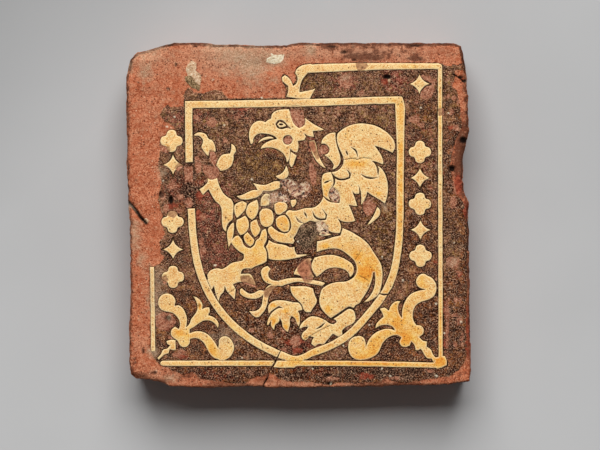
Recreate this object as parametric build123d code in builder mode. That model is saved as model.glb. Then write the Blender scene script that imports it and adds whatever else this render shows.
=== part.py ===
from build123d import *
import os

os.makedirs("parts", exist_ok=True)

# Driving sizes in millimetres. The base lies on z = 0 and the face looks up, along +z.
# The wooden die was carved in short straight cuts, which its print shows: CUT_LENGTH apart on
# small forms and LONG_CUT_LENGTH apart round the shield.
TILE_SIZE = 130.0
TILE_THICKNESS = 25.0
SIDE_UNDERCUT = 1.5
ARRIS_WIDTH = 0.5
ARRIS_HEIGHT = 0.7
INLAY_DEPTH = 2.0
FRAME_LINE_WIDTH = 2.1
SIDE_LINE_WIDTH = 1.65
SHIELD_LINE_WIDTH = 2.8
GROOVE_WIDTH = 0.55
SCALE_SWELL = 0.15
CHEEK_LOSS_RADIUS = 1.75
PUPIL_LENGTH = 1.5
PUPIL_HEIGHT = 0.7
ORNAMENT_SIZE = 8.5
CUT_LENGTH = 1.65
LONG_CUT_LENGTH = 7.0
CRACK_WIDTH = 0.6
CRACK_DEPTH = 1.2
PIT_DEPTH = 1.2
NOTCH_DEPTH = 3.0

# Shares that set a shape but no size: how far a lozenge's sides curve in towards its middle, how
# much smaller a pit is at its floor, and the straight cuts round one petal and round the end of
# the frame line.
LOZENGE_HOLLOW = 0.33
PIT_NARROWING = 0.5
PETAL_CUTS = 8
END_CUTS = 8

# The die drawing is a square grid of this many steps laid over the whole tile. Its x runs to the
# right, its y runs down, and DRAWING_CENTRE is the point that lies over the middle of the tile.
DRAWING_STEPS = 346
DRAWING_CENTRE = (298.5, 215.0)
STEP = TILE_SIZE / DRAWING_STEPS
FACE = Plane.XY.offset(TILE_THICKNESS)


def at(point):
    """The place of a drawing point on the tile, in millimetres."""
    return Vector((point[0] - DRAWING_CENTRE[0]) * STEP, (DRAWING_CENTRE[1] - point[1]) * STEP)


def carved(points, cut_length):
    """Straight cuts along the smooth curve through some points."""
    if len(points) == 2:
        return points
    curve = Spline(*points, mode=Mode.PRIVATE)
    cuts = max(2, round(curve.length / cut_length))
    return [curve @ (cut / cuts) for cut in range(cuts + 1)]


def outline(*runs, cut_length=CUT_LENGTH, mode=Mode.ADD):
    """A face bounded by smooth runs that meet at corners. Each run ends where the next begins."""
    with BuildLine() as edge:
        for run, following in zip(runs, runs[1:] + runs[:1]):
            Polyline(*carved([at(point) for point in run + following[:1]], cut_length))
    make_face(edge.line.edges(), mode=mode)


def inset(*runs, distance):
    """The same runs moved inward by a distance in millimetres, or outward where it is negative.

    They turn clockwise, as drawn.
    """
    points = [Vector(*point) for run in runs for point in run]
    moved = []
    for before, here, after in zip(points[-1:] + points[:-1], points, points[1:] + points[:1]):
        entry = (here - before).normalized().rotate(Axis.Z, 90)
        leave = (after - here).normalized().rotate(Axis.Z, 90)
        middle = (entry + leave).normalized()
        shifted = here + middle * (distance / STEP / middle.dot(entry))
        moved.append((shifted.X, shifted.Y))
    return [[moved.pop(0) for _ in run] for run in runs]


def groove(*route, width=GROOVE_WIDTH, mode=Mode.SUBTRACT):
    """A thin ridge of body clay left between two fills: full width inside, pointed at both ends."""
    points = [at(point) for point in route]
    if len(points) == 2:
        points.insert(1, (points[0] + points[1]) / 2)
    sides = ([points[0]], [points[0]])
    for before, here, after in zip(points, points[1:], points[2:]):
        across = (after - before).normalized().rotate(Axis.Z, 90) * (width / 2)
        sides[0].append(here + across)
        sides[1].append(here - across)
    with BuildLine() as edge:
        Polyline(*sides[0], points[-1])
        Polyline(*sides[1], points[-1])
    make_face(edge.line.edges(), mode=mode)


def strip(*route, width):
    """A band of even width along straight runs, mitred where they meet."""
    points = [at(point) for point in route]
    runs = [(after - before).normalized() for before, after in zip(points, points[1:])]
    sides = ([], [])
    for point, entry, leave in zip(points, runs[:1] + runs, runs + runs[-1:]):
        middle = (entry + leave).normalized()
        across = middle.rotate(Axis.Z, 90) * (width / 2 / middle.dot(entry))
        sides[0].append(point + across)
        sides[1].append(point - across)
    with BuildLine() as edge:
        Polyline(*sides[0], *reversed(sides[1]), close=True)
    make_face(edge.line.edges())


# The rim of the tile, with the broken corners and the long flat chip at the top left.
RIM = (
    (130, 58), (137, 52), (148, 49), (165, 44), (173, 42.3), (200, 42), (215, 44), (280, 45),
    (302, 42.3), (455, 42.5), (462, 45), (465, 60), (468, 90), (469, 130), (464, 155), (463, 175),
    (465, 192), (469, 203), (469, 250), (471, 350), (470.5, 382), (450, 385), (345, 387.3),
    (300, 388), (266, 388), (262, 386.7), (200, 388), (170, 387), (156, 381), (135, 379),
    (131, 375), (129, 366), (130, 235), (129, 215), (127, 199), (126, 100), (126, 76),
)


def rim(setback):
    """The outline of the tile, drawn in evenly by a setback in millimetres."""
    scale = 1 - 2 * setback / TILE_SIZE
    with BuildLine() as edge:
        Polyline(*[at(point) * scale for point in RIM], close=True)
    make_face(edge.line.edges())


# The crack that runs up from the bottom edge, through the frame line and into the shield line.
CRACK_ROUTE = ((260.5, 396), (267.5, 380), (271.5, 369), (276, 360.5), (281, 350.5))

# Border lines: a frame of straight lines, closed at the bottom right by a corner block and ended
# at the top left by a three-pointed leaf, towards which the top line broadens. The bottom line
# sags beside the crack.
with BuildSketch(FACE) as frame_art:
    strip((163, 363.4), (340, 363.5), (442, 365.4), width=FRAME_LINE_WIDTH)
    with Locations(at((163, 363.4))):
        RegularPolygon(FRAME_LINE_WIDTH / 2, END_CUTS)
    outline([(272, 365)], [(298, 365)], [(295, 367.6), (284, 368.1)], [(272, 367.4)])
    strip((152, 267), (153.2, 351.5), width=SIDE_LINE_WIDTH)
    strip((440, 67), (440.7, 362), width=SIDE_LINE_WIDTH)
    outline(
        [(306, 64.6)],
        [(350, 63.1)],
        [(438.5, 63.2)],
        [(441.2, 64.3)],
        [(442.2, 67)],
        [(442.2, 69.2)],
        [(390, 69.7)],
        [(350, 71.1)],
        [(306, 73.2)],
    )
    outline(
        [(436, 357.3)],
        [(444.8, 355.8), (446.7, 360)],
        [(446.9, 365.3)],
        [(441.5, 368), (434, 367.8)],
        [(434, 362)],
    )
    outline(
        [(312, 63.8), (303, 65), (296, 70)],
        [(295, 73), (297.3, 77.5), (297, 82)],
        [(293, 86), (289.5, 78.5)],
        [(285, 75), (282, 77)],
        [(288, 86), (288, 91)],
        [(286, 97)],
        [(298, 98.7)],
        [(310, 99)],
        [(313.5, 92)],
        [(316, 88), (308, 90.7)],
        [(299.5, 92)],
        [(300.5, 85), (303.5, 78)],
        [(312, 70.5)],
    )
    groove(*CRACK_ROUTE, width=CRACK_WIDTH)

# Shield: one line of even width, pointed at the foot, broader at the top right and broken away on
# its left side.
SHIELD_EDGE = (
    [(185, 101), (260, 100), (320, 98.7), (380, 96.7)],
    [(402.3, 96.3)],
    [(404.8, 105), (404.6, 130), (403.8, 190), (403, 235), (399.8, 262), (391, 290),
     (375, 312), (357, 332.5), (340, 345.5), (318, 354.8)],
    [(296.5, 363.8), (277, 357.7), (262, 350.5), (241, 337), (219, 315.5), (205, 294), (197, 275),
     (190, 242), (187.3, 205), (185.3, 150)],
)
with BuildSketch(FACE) as shield_art:
    outline(*SHIELD_EDGE, cut_length=LONG_CUT_LENGTH)
    inner_edge = inset(*SHIELD_EDGE, distance=SHIELD_LINE_WIDTH)
    outline(*inner_edge, cut_length=LONG_CUT_LENGTH, mode=Mode.SUBTRACT)
    outline([(395, 103)], [(403, 103)], [(403, 150)], [(397, 158)])
    outline([(180, 164), (196, 163)], [(197, 208)], [(184, 209)], mode=Mode.SUBTRACT)
    groove((379, 293.8), (384, 294.8), (390, 294.2))
    groove(*CRACK_ROUTE, width=CRACK_WIDTH)
    add(frame_art.sketch, mode=Mode.SUBTRACT)

# Scrolled leaf in the bottom left corner, with its small finial.
with BuildSketch(FACE) as left_fleuron_art:
    outline(
        [(174.6, 305.8), (175.4, 300.5), (172, 295.2), (166.5, 293.6), (160.8, 296), (158, 302),
         (160, 308.8), (165.5, 311.8), (171, 312.7), (176.3, 316.3), (179.6, 322)],
        [(178.8, 329), (174.5, 326.6), (171.3, 330)],
        [(170.8, 335), (173.5, 338.3)],
        [(177.3, 341), (179.8, 345.3), (184, 347.7), (188.3, 345.5)],
        [(190, 339.3), (196.5, 338.7), (202.5, 341.8), (207, 349.3), (211.5, 356)],
        [(219, 360)],
        [(219.5, 362)],
        [(224.5, 362)],
        [(224.8, 360.2), (231, 356), (234.1, 348), (231.5, 340.3), (225, 336.2), (220, 338.3),
         (218.8, 343)],
        [(218.2, 348.5), (216, 344), (213, 339.7), (207.5, 334.3), (200, 331.2), (194, 331.7)],
        [(189.5, 333.3)],
        [(189.8, 329.4), (196, 325.7), (202, 321.6), (208.5, 320.7), (214, 323.3)],
        [(217.8, 328.5), (218.3, 322.5), (213.8, 317.3)],
        [(208.3, 315.3), (210, 311)],
        [(209.3, 307.2), (205, 307.8)],
        [(202.2, 309.3), (201.7, 302.5), (198, 298.3)],
        [(192.3, 295.8), (196.3, 302.5), (197, 310), (193.5, 316)],
        [(190.8, 319.5), (189, 324.5)],
        [(186.2, 327.3), (187, 319.5), (184.5, 311), (180.5, 306.2)],
    )
    outline(
        [(175.6, 340.3), (171, 339.8)],
        [(166.3, 341), (167.3, 344.3)],
        [(169.8, 345.7), (167.5, 348.3)],
        [(163.3, 349.7), (161.3, 353.5)],
        [(157.3, 358)],
        [(158.7, 360), (161.5, 357.3)],
        [(164.5, 354.8), (168.3, 353.8)],
        [(169.7, 349.3), (172.3, 350.3)],
        [(175.8, 350.2)],
    )
    add(frame_art.sketch, mode=Mode.SUBTRACT)

# Scrolled leaf in the bottom right corner, whose finial runs into the corner block.
with BuildSketch(FACE) as right_fleuron_art:
    outline(
        [(425.5, 289.7), (420.8, 288.5), (416.5, 284.5), (416.4, 279), (420, 274.7), (425, 274)],
        [(427.5, 275.8), (432.8, 278.8), (436, 284.5), (436.2, 291), (433, 297.3), (427, 300.3),
         (420.5, 302.3), (415.3, 306.8), (413, 313), (413.5, 320)],
        [(416.3, 325.2), (420.5, 325.5), (424, 330), (422.8, 334.7)],
        [(419.3, 337), (421.5, 339.8)],
        [(427.3, 341.7), (426.3, 345)],
        [(431, 349.5), (435.5, 357.3)],
        [(440, 360)],
        [(438, 364)],
        [(433.5, 362.5)],
        [(431.5, 358.7), (426.5, 357.8), (423.5, 353.5)],
        [(420.7, 348.9), (418, 350.4)],
        [(415.5, 350.2), (414.5, 345.5)],
        [(411.3, 341.8), (409.8, 345.9), (405, 347.2), (400.3, 344.8), (399.5, 340.5)],
        [(401.2, 337.8), (395, 335.3), (388, 338.2), (382.5, 344), (378.5, 352.3), (371, 358),
         (362, 360.2), (354, 358.7), (349, 352.5), (348.2, 345), (351.5, 338.5), (358, 335.9),
         (363.6, 337.6), (365.7, 342)],
        [(366, 347), (368, 341.5), (371, 336.8), (375.5, 332.7), (383, 329.4), (390, 328.9)],
        [(394.7, 330.5)],
        [(393.5, 327.9), (388, 325.3), (381.5, 325.5)],
        [(375.3, 328.7), (377, 323), (380.5, 319.5)],
        [(383.6, 317), (382, 312.5)],
        [(379.6, 308.7), (384.5, 307.4)],
        [(389, 310.7), (392, 304.2), (396.5, 301.3)],
        [(401, 301), (398.3, 306), (399, 312.5)],
        [(402, 318), (402.2, 311), (404.7, 302), (410, 294.7), (417.5, 291.2)],
    )
    add(frame_art.sketch, mode=Mode.SUBTRACT)
    add(shield_art.sketch, mode=Mode.SUBTRACT)

# Griffin's head: beak, brow, ear and cheek, with the eye and the round loss in the cheek left
# open, then the tongue, the throat, the crest feather and the long feather of the neck.
with BuildSketch(FACE) as head_art:
    outline(
        [(251, 144.5), (249, 137), (250.5, 127.5), (256, 121.7), (262, 120.8)],
        [(265.5, 122), (268.5, 119.5)],
        [(271, 118.5), (272.5, 113.5), (279, 110)],
        [(289, 109.3), (291.5, 117), (295, 125)],
        [(299, 128), (304, 125)],
        [(304.5, 117.5), (312, 123)],
        [(325, 129.7), (318, 131)],
        [(313, 131)],
        [(314, 137), (308.5, 136.3)],
        [(304, 133.5), (306, 138)],
        [(304.5, 140.3)],
        [(298, 141), (298.5, 147)],
        [(297, 153), (293, 151.5)],
        [(290, 149), (290.5, 154)],
        [(287, 163), (284.5, 155.5), (279, 150.3), (268, 147.8)],
        [(260, 149.5), (263, 145), (268.5, 141.3)],
        [(277, 139.2)],
        [(276, 137.7), (271, 135), (264, 133.8), (258, 134.2), (254.5, 137)],
        [(253, 143)],
    )
    outline(
        [(275.5, 124), (278, 120.5), (281, 120), (285, 122.5), (288, 126)],
        [(291, 128.7), (285, 128.3), (280, 129), (277, 127.5)],
        mode=Mode.SUBTRACT,
    )
    with Locations(at((287.8, 140))):
        Circle(CHEEK_LOSS_RADIUS, mode=Mode.SUBTRACT)
    outline([(277, 124.5), (279.5, 121.6), (283, 122.6)], [(286.5, 125.8), (283, 127.2), (279, 127.4)])
    with Locations(at((281, 124.5))):
        Ellipse(PUPIL_LENGTH / 2, PUPIL_HEIGHT / 2, mode=Mode.SUBTRACT)
    outline(
        [(257, 144.5), (260, 140), (266, 137), (271, 136.7)],
        [(274.5, 138.4), (268, 139.3), (262, 141.2)],
    )
    outline(
        [(291, 151.8)],
        [(296.7, 155.7), (295, 160), (293.5, 165)],
        [(291.5, 168), (289.3, 163), (289.8, 158)],
    )
    outline(
        [(286.5, 165.3), (288, 170), (288.5, 175)],
        [(286.5, 178), (281, 179.5)],
        [(275, 176), (279, 174.8), (283, 172), (285.3, 168.5)],
    )
    outline(
        [(308.5, 141), (310, 147), (313, 155), (318, 163)],
        [(326.5, 168.8), (322, 162), (318.5, 154), (316.5, 146)],
        [(314.5, 140.3)],
    )

# Breast: the leaf at the throat, the rows of scale feathers and the plain breast below them.
SCALES = (
    ([(235, 205.5), (239, 202.5), (243, 201.7)], [(246.5, 203.5), (244.5, 210), (240, 215.2)],
     [(237, 217.9), (235, 213)]),
    ([(249, 204.5)], [(256.8, 200), (258.3, 207), (256.5, 215)],
     [(252, 219.7), (249, 217.5), (246.3, 212.5), (247.3, 207.5)]),
    ([(262.5, 196.5), (266, 194)], [(270, 195), (269.2, 200)], [(269, 204.5), (264, 205.8)],
     [(261, 205.5), (261.2, 200)]),
    ([(236.8, 220.3), (240.5, 218.7)], [(244.8, 216.2), (248.1, 221)], [(248.6, 226.5), (245.8, 232)],
     [(240.5, 235), (237.5, 230), (236.3, 224)]),
    ([(260, 213), (262.5, 209.3), (268, 209)], [(271.5, 211), (273.3, 217), (272.5, 223)],
     [(269, 226.3), (264.5, 226.5)], [(261.5, 224), (260, 218.5)]),
    ([(274.5, 204.5), (279, 202.3), (284, 202)], [(286.7, 205), (286, 210)],
     [(283, 212.3), (277.3, 214.5)], [(275, 210)]),
    ([(251, 222.7), (253, 221.3)], [(256.5, 220), (258, 225)], [(260, 229.5), (258.5, 233.5)],
     [(255, 237), (252, 232.5), (250.7, 227)]),
    ([(276.3, 219), (280, 216.3)], [(284.5, 215.3), (288.3, 220.5), (289.3, 226)],
     [(288, 231), (284.5, 231.8)], [(280, 229.5), (276.3, 224)]),
    ([(244.2, 236.3)], [(247.5, 232.5), (251.5, 237)], [(254, 240), (253, 244)],
     [(250.3, 246.3), (246, 243)]),
    ([(233.2, 223), (233.8, 229), (233, 235)], [(232, 240), (230.5, 243)],
     [(228.5, 248), (228.3, 242), (227.4, 235)], [(227.6, 231.5), (229.8, 226.5)]),
)
with BuildSketch(FACE) as breast_art:
    outline(
        [(252, 182.5), (259, 184.5), (266, 184.8), (272, 182.2)],
        [(279, 181), (281, 184)],
        [(280.5, 187.8), (274, 190.6)],
        [(263.5, 191), (260, 195.5), (252, 199), (243, 199.7)],
        [(236, 196), (244, 194), (250, 191)],
        [(257.5, 190), (255, 186)],
    )
    for scale_feather in SCALES:
        outline(*inset(*scale_feather, distance=-SCALE_SWELL))
    outline([(290.5, 200)], [(296, 199.5)], [(296.5, 203)], [(292.3, 208.3), (290.8, 204)])
    outline(
        [(231, 242.5), (233.5, 238)],
        [(236.3, 235.7)],
        [(238.5, 235.7), (242, 240)],
        [(243.7, 244.5), (247, 247.5)],
        [(250.5, 248.3), (254, 245.5)],
        [(256, 240.5), (260, 236), (262.3, 230.5)],
        [(265.5, 228.7), (267, 234)],
        [(266.7, 240)],
        [(263.8, 246), (266.5, 251.5)],
        [(267, 258)],
        [(266.3, 261.5), (261, 264.5), (256, 266.3)],
        [(251.5, 269)],
        [(244, 259.5)],
        [(243.7, 254.5), (239, 251.5), (234.5, 247.5)],
    )

# Raised foreleg with two of its talons, and the lower foreleg whose talons reach the shield.
with BuildSketch(FACE) as foreleg_art:
    outline(
        [(203, 173.8), (206, 175.3)],
        [(209.3, 179), (213, 179.5)],
        [(217, 177.7), (218.8, 184), (222, 191), (226.5, 196.3)],
        [(231, 199), (233.4, 204), (233.2, 213)],
        [(232.5, 219.5), (229, 222.7), (226.8, 227)],
        [(226.3, 232.3), (223.5, 229.5), (222, 225), (221.8, 214)],
        [(219.7, 205.3), (214.5, 200), (210.8, 194)],
        [(208.5, 189.5), (205.5, 192.5)],
        [(202.8, 195.3)],
        [(199.3, 189.2), (203, 187)],
        [(207.5, 182), (207, 177.5)],
    )
    outline(
        [(194.3, 134.3), (201, 132.3), (206.5, 135)],
        [(208.5, 138.5), (213, 141.5), (215.8, 150)],
        [(215.8, 151.7)],
        [(209.3, 152)],
        [(208.5, 156.5), (204, 152)],
        [(201.3, 147), (202.8, 141.5)],
        [(203, 139.8), (199.5, 136.3)],
        [(194.3, 136)],
    )
    outline(
        [(216, 165.5), (218.5, 159.5), (222, 155), (227, 153.7)],
        [(230, 153.5), (231.2, 149)],
        [(231.2, 143.2), (234, 145.5), (236, 150)],
        [(233.8, 155), (233.5, 160)],
        [(231.5, 166), (228, 169)],
        [(220.5, 171), (218, 168)],
    )
    outline(
        [(246, 252)],
        [(243.8, 255), (243.6, 258)],
        [(242.5, 260.5), (236, 262), (231, 263.3), (226, 267)],
        [(222, 269), (214, 268.8), (208.7, 272)],
        [(208, 279.3)],
        [(205, 281)],
        [(208, 292)],
        [(211.3, 295.5), (211.8, 290)],
        [(214, 285.8), (215, 291)],
        [(219, 302.7), (220, 297)],
        [(223.5, 292.5)],
        [(224.8, 286.3), (226.3, 290.5), (230.5, 295.5)],
        [(234.6, 300), (235.3, 295)],
        [(235.6, 289)],
        [(233, 284.5), (240, 282.3), (248, 283.5)],
        [(256, 286), (253.5, 279)],
        [(250, 274), (245, 273.7)],
        [(240.7, 274), (242, 270.5), (246, 268.7)],
        [(251.5, 269)],
        [(256, 262)],
    )
    add(breast_art.sketch, mode=Mode.SUBTRACT)
    add(shield_art.sketch, mode=Mode.SUBTRACT)

# Wing and the back it grows from, with the feather lines left standing in the body clay.
with BuildSketch(FACE) as wing_art:
    outline(
        [(337.5, 134), (343, 129), (352, 124.8), (363, 123.5), (376, 126), (387, 132.5), (394, 141),
         (395, 147.5)],
        [(392.5, 153), (384, 149)],
        [(374.5, 146), (380, 153), (383, 160)],
        [(383.5, 165), (379, 163)],
        [(372, 161), (376, 166), (377.3, 171)],
        [(378, 175.5), (378.8, 170.5)],
        [(377.5, 165.5), (383, 170.5), (387, 180), (388, 190)],
        [(385, 204), (381, 201), (376, 198)],
        [(367.5, 192), (366, 197), (364, 201.5)],
        [(361, 205.3), (361.2, 197), (360.3, 190)],
        [(358.5, 185.5), (359.5, 190)],
        [(359.3, 193.7), (356, 194.3)],
        [(352.5, 191.5), (354.5, 197)],
        [(357.5, 206.5), (353, 206)],
        [(349, 205), (351.5, 211), (353.5, 216)],
        [(355.5, 221), (347, 222.5), (341, 221)],
        [(338, 219), (340.3, 223), (341, 228)],
        [(340, 233.3), (334, 233), (328.5, 231)],
        [(324, 229), (321, 225.5)],
        [(310, 221), (306, 222.7)],
        [(304, 223.5), (300.5, 226.5), (297.5, 232)],
        [(293.5, 238), (294.8, 241)],
        [(293, 244), (284, 243), (274, 240.3)],
        [(269.5, 235), (268.5, 228)],
        [(271.5, 226), (277, 230.5), (282, 232.8)],
        [(286.5, 233.2), (290, 230), (291, 225), (289.5, 219)],
        [(285.3, 213.8), (287, 211.3)],
        [(289, 210.3), (297, 210.5), (305, 208.3), (314, 207.2), (320, 203)],
        [(323, 197), (322, 188), (321.5, 180)],
        [(323.2, 174.5), (327, 172.7)],
        [(331.5, 172), (339, 169.5), (343, 164), (343, 157), (339, 148), (337, 141)],
    )
    outline(
        [(321, 144), (322, 140), (326, 135.5), (331, 133)],
        [(335.5, 132.7), (335.8, 139), (337.5, 147.5), (340, 155)],
        [(340.5, 161), (338, 166.5), (335, 168.8)],
        [(332, 170), (333.8, 166)],
        [(331, 161), (328, 158)],
        [(324, 155), (327.8, 153.3), (329.3, 149.5), (327.5, 145.8)],
    )
    outline([(318.7, 235), (321, 231.7)], [(323.5, 231), (327.5, 233.3)], [(332.5, 234.4), (326, 236)])
    outline(
        [(366, 226), (371, 219.5), (375, 212.5)],
        [(377.3, 206.5), (380.3, 211)],
        [(379.5, 215.5), (373, 222)],
    )
    outline(
        [(332, 187), (329.5, 191), (329, 197)],
        [(333, 201.7), (336.5, 203)],
        [(339.3, 203), (339.6, 197), (337, 192)],
        mode=Mode.SUBTRACT,
    )
    groove((331, 171.5), (333.5, 177), (334.3, 182), (332, 188.5))
    groove((331.5, 172.5), (336, 178), (343, 179.7), (349.5, 177.8), (349.8, 174), (346.5, 169.5))
    groove((361, 174.3), (366, 177.2), (371, 178.3), (378, 177.8))
    groove((346, 150.5), (348, 155.5))
    groove((351, 147), (355.5, 150.5), (358, 157.5))
    groove((323.5, 183.3), (330, 180.7))
    groove((322.5, 195.5), (328, 200.3), (333, 202.5))
    groove((295.5, 216.5), (299, 221.5), (305, 223.5))
    groove((304, 212), (307, 217.3))
    groove((312.5, 211.5), (315, 217), (320, 219.5), (325.7, 219.3), (326.3, 215), (322, 209))

# Belly, rump, haunch and the loop of the flank.
with BuildSketch(FACE) as haunch_art:
    outline(
        [(268.8, 240), (276, 243.3), (284, 244.8)],
        [(290, 247.2)],
        [(294.5, 246.8), (295.5, 252)],
        [(297, 254.5)],
        [(311, 254.5), (300, 257.3), (288, 259.8), (277, 260.4)],
        [(268.6, 258.8), (268, 253)],
        [(265.6, 246.8), (267.8, 243)],
    )
    outline(
        [(317, 241.5), (324, 240), (333, 237.3)],
        [(340.5, 235.5)],
        [(342.5, 228), (351, 231.8), (360, 237.2), (368.5, 244.5), (375, 254), (381, 264),
         (382.6, 273), (382, 283)],
        [(379.3, 293.5), (373, 299), (368, 301.5)],
        [(362.5, 303), (368.5, 297.5), (373, 290.5), (375.2, 281)],
        [(374.7, 272.7)],
        [(373.3, 272.8), (371.8, 281), (368.3, 289.5), (363, 298)],
        [(359.5, 303.5), (356, 305.5)],
        [(353.5, 308.5), (349, 307), (344, 309.8), (338, 314)],
        [(331, 318.5), (324, 312.3), (319.6, 304.5), (319.5, 297)],
        [(321.5, 289.8), (328, 284.7), (336, 282.3), (344, 281.8)],
        [(350, 279.8), (355, 275.3), (356.7, 268.5), (354.8, 262)],
        [(351.5, 258.2), (345.5, 253.2), (338, 249.2), (329, 249), (321, 250.8)],
        [(316.5, 252.3)],
    )
    outline(
        [(316.7, 277), (312.7, 271.5), (311.2, 266), (313, 261)],
        [(314.3, 257.8), (321, 256), (332, 255), (341, 257.3), (348, 260.7)],
        [(352.3, 264), (354, 269.5), (352.8, 274.5)],
        [(350, 277.7), (348, 272.8), (343, 269.2), (335, 267.8), (327, 269.5), (321, 274)],
    )

# Hind legs: the far thigh and its paw, and the near shank and foot that stand on the shield.
with BuildSketch(FACE) as hind_leg_art:
    outline(
        [(290.3, 286.3), (300, 286.3), (309, 287)],
        [(313, 288.8), (314.5, 294)],
        [(317, 300.5), (315.5, 305)],
        [(313, 308.5), (312, 311.5), (308, 312.7)],
        [(303.4, 309.3), (301.8, 305), (297.5, 300.3), (293.5, 296.5), (291, 291.5)],
    )
    outline(
        [(268, 307), (270, 303.2), (275, 300.8), (282, 300.3), (291, 301.8)],
        [(298.5, 302.7), (301.3, 306)],
        [(302.5, 310.3)],
        [(298, 311), (300, 317), (300, 322)],
        [(298.7, 327), (296.3, 322.5), (294, 317.5)],
        [(291.8, 316), (290.2, 319)],
        [(290, 324.5)],
        [(288, 332.5), (283.7, 329)],
        [(281.8, 322.5)],
        [(279.8, 318), (278.8, 322.5)],
        [(275.5, 325)],
        [(274.3, 330.5), (271.5, 327)],
        [(271, 321)],
        [(268.5, 325.5)],
        [(267, 325), (268.7, 318), (272.5, 312.3)],
        [(277, 309), (280, 308)],
        [(283, 308.3), (279.3, 306.3), (275.5, 308.3)],
        [(271, 311.7)],
        [(268.5, 314.3)],
    )
    outline(
        [(299, 329.3), (300.5, 325), (304, 321)],
        [(308.5, 317.5), (313, 316.3), (319, 317.5)],
        [(326, 320.8)],
        [(329.5, 323.3), (334, 324.2)],
        [(336.7, 322), (334.8, 319.7)],
        [(333, 319.3), (338.3, 315.8), (344, 311.8)],
        [(349, 309), (353.3, 310.5), (355.3, 315)],
        [(355.5, 320), (353, 323.7), (347, 326.7)],
        [(342, 331)],
        [(343, 338)],
        [(338.3, 336.9)],
        [(333, 334), (329.5, 338)],
        [(323.5, 344.3)],
        [(318.5, 344.3), (315, 346.7)],
        [(311.3, 344), (312, 341)],
        [(314, 337.8)],
        [(310, 336.3), (307.5, 339)],
        [(305, 340.7), (302, 338.5)],
        [(301.5, 336.5), (303, 332.5)],
        [(306.5, 329.5)],
        [(308.3, 326.8), (304.5, 327.2)],
    )
    groove((325.5, 322.5), (321, 326.5), (315.5, 329.5))
    add(shield_art.sketch, mode=Mode.SUBTRACT)

# Tail, drawn between the legs: the long curled strip, its worn tuft and the tip below it.
with BuildSketch(FACE) as tail_art:
    outline(
        [(263, 268), (266.5, 265.8), (270, 266.7)],
        [(271, 269), (268.8, 272), (269.3, 277.5), (274, 280.5), (280, 280.3)],
        [(288, 278.5), (296, 278), (305, 278.8), (317, 280.8)],
        [(325.5, 283)],
        [(322, 286), (314, 284.7), (304, 282.7), (295, 282.4), (287, 284.5)],
        [(281, 286.4), (273, 285.2), (265, 282), (261.3, 276), (261, 271)],
    )
    outline(
        [(293.3, 274.5), (297, 267.5), (302, 262)],
        [(308, 258.3)],
        [(312, 258.8), (309.7, 264.5), (311, 271.5)],
        [(314.3, 277.3)],
        [(303.5, 277.3), (298, 275.3)],
    )
    outline(
        [(278, 285.5), (272, 291)],
        [(268.3, 298), (267.3, 304), (265.3, 309.3)],
        [(262, 314), (256.5, 317.5)],
        [(252, 315)],
        [(248.7, 310.7), (254, 311.2), (258.5, 309.3)],
        [(261.5, 305), (262.6, 299)],
        [(264, 291.5), (269, 285.5)],
    )
    outline(
        [(240, 289.5)],
        [(242, 288.3), (246, 291.7), (250, 293.7)],
        [(254.3, 292.8), (258, 290.6)],
        [(264.5, 290.8)],
        [(264, 294.5), (259, 298), (252, 299), (245, 297.3)],
        [(240, 293.5)],
    )

# Ornament of the side bands: plain quatrefoils and hollow-sided lozenges, one after the other.
QUATREFOIL_PLACES = ((171.5, 141), (172.5, 222), (173, 277), (420, 152), (420, 204), (420.5, 256))
LOZENGE_PLACES = ((173, 165), (173, 249.5), (420, 178), (420.5, 230), (419.5, 84))


def quatrefoil():
    """Four petals that meet at the middle."""
    with PolarLocations(ORNAMENT_SIZE / 4, 4):
        RegularPolygon(ORNAMENT_SIZE / 4, PETAL_CUTS)


def lozenge():
    """A square set on its corner with hollow sides."""
    reach = ORNAMENT_SIZE / 2
    corners = [Vector(reach, 0).rotate(Axis.Z, 90 * quarter) for quarter in range(4)]
    with BuildLine() as edge:
        for here, following in zip(corners, corners[1:] + corners[:1]):
            ThreePointArc(here, (here + following) * LOZENGE_HOLLOW, following)
    make_face(edge.line.edges())


with BuildSketch(FACE) as ornament_art:
    with Locations(*[at(place) for place in QUATREFOIL_PLACES]):
        quatrefoil()
    with BuildSketch(mode=Mode.PRIVATE) as single_lozenge:
        lozenge()
    with Locations(*[at(place) for place in LOZENGE_PLACES]):
        add(single_lozenge.sketch)

INLAYS = {
    "frame_line_inlay": frame_art,
    "shield_line_inlay": shield_art,
    "left_fleuron_inlay": left_fleuron_art,
    "right_fleuron_inlay": right_fleuron_art,
    "griffin_head_inlay": head_art,
    "griffin_breast_inlay": breast_art,
    "griffin_foreleg_inlay": foreleg_art,
    "griffin_wing_inlay": wing_art,
    "griffin_haunch_inlay": haunch_art,
    "griffin_hind_leg_inlay": hind_leg_art,
    "griffin_tail_inlay": tail_art,
    "band_ornament_inlay": ornament_art,
}

# Deep pits where a grain has burst out of the clay: place on the drawing, width and height in
# millimetres.
PITS = (((171, 200), 1.8, 3.2), ((387, 77), 3.0, 1.7))

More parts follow.
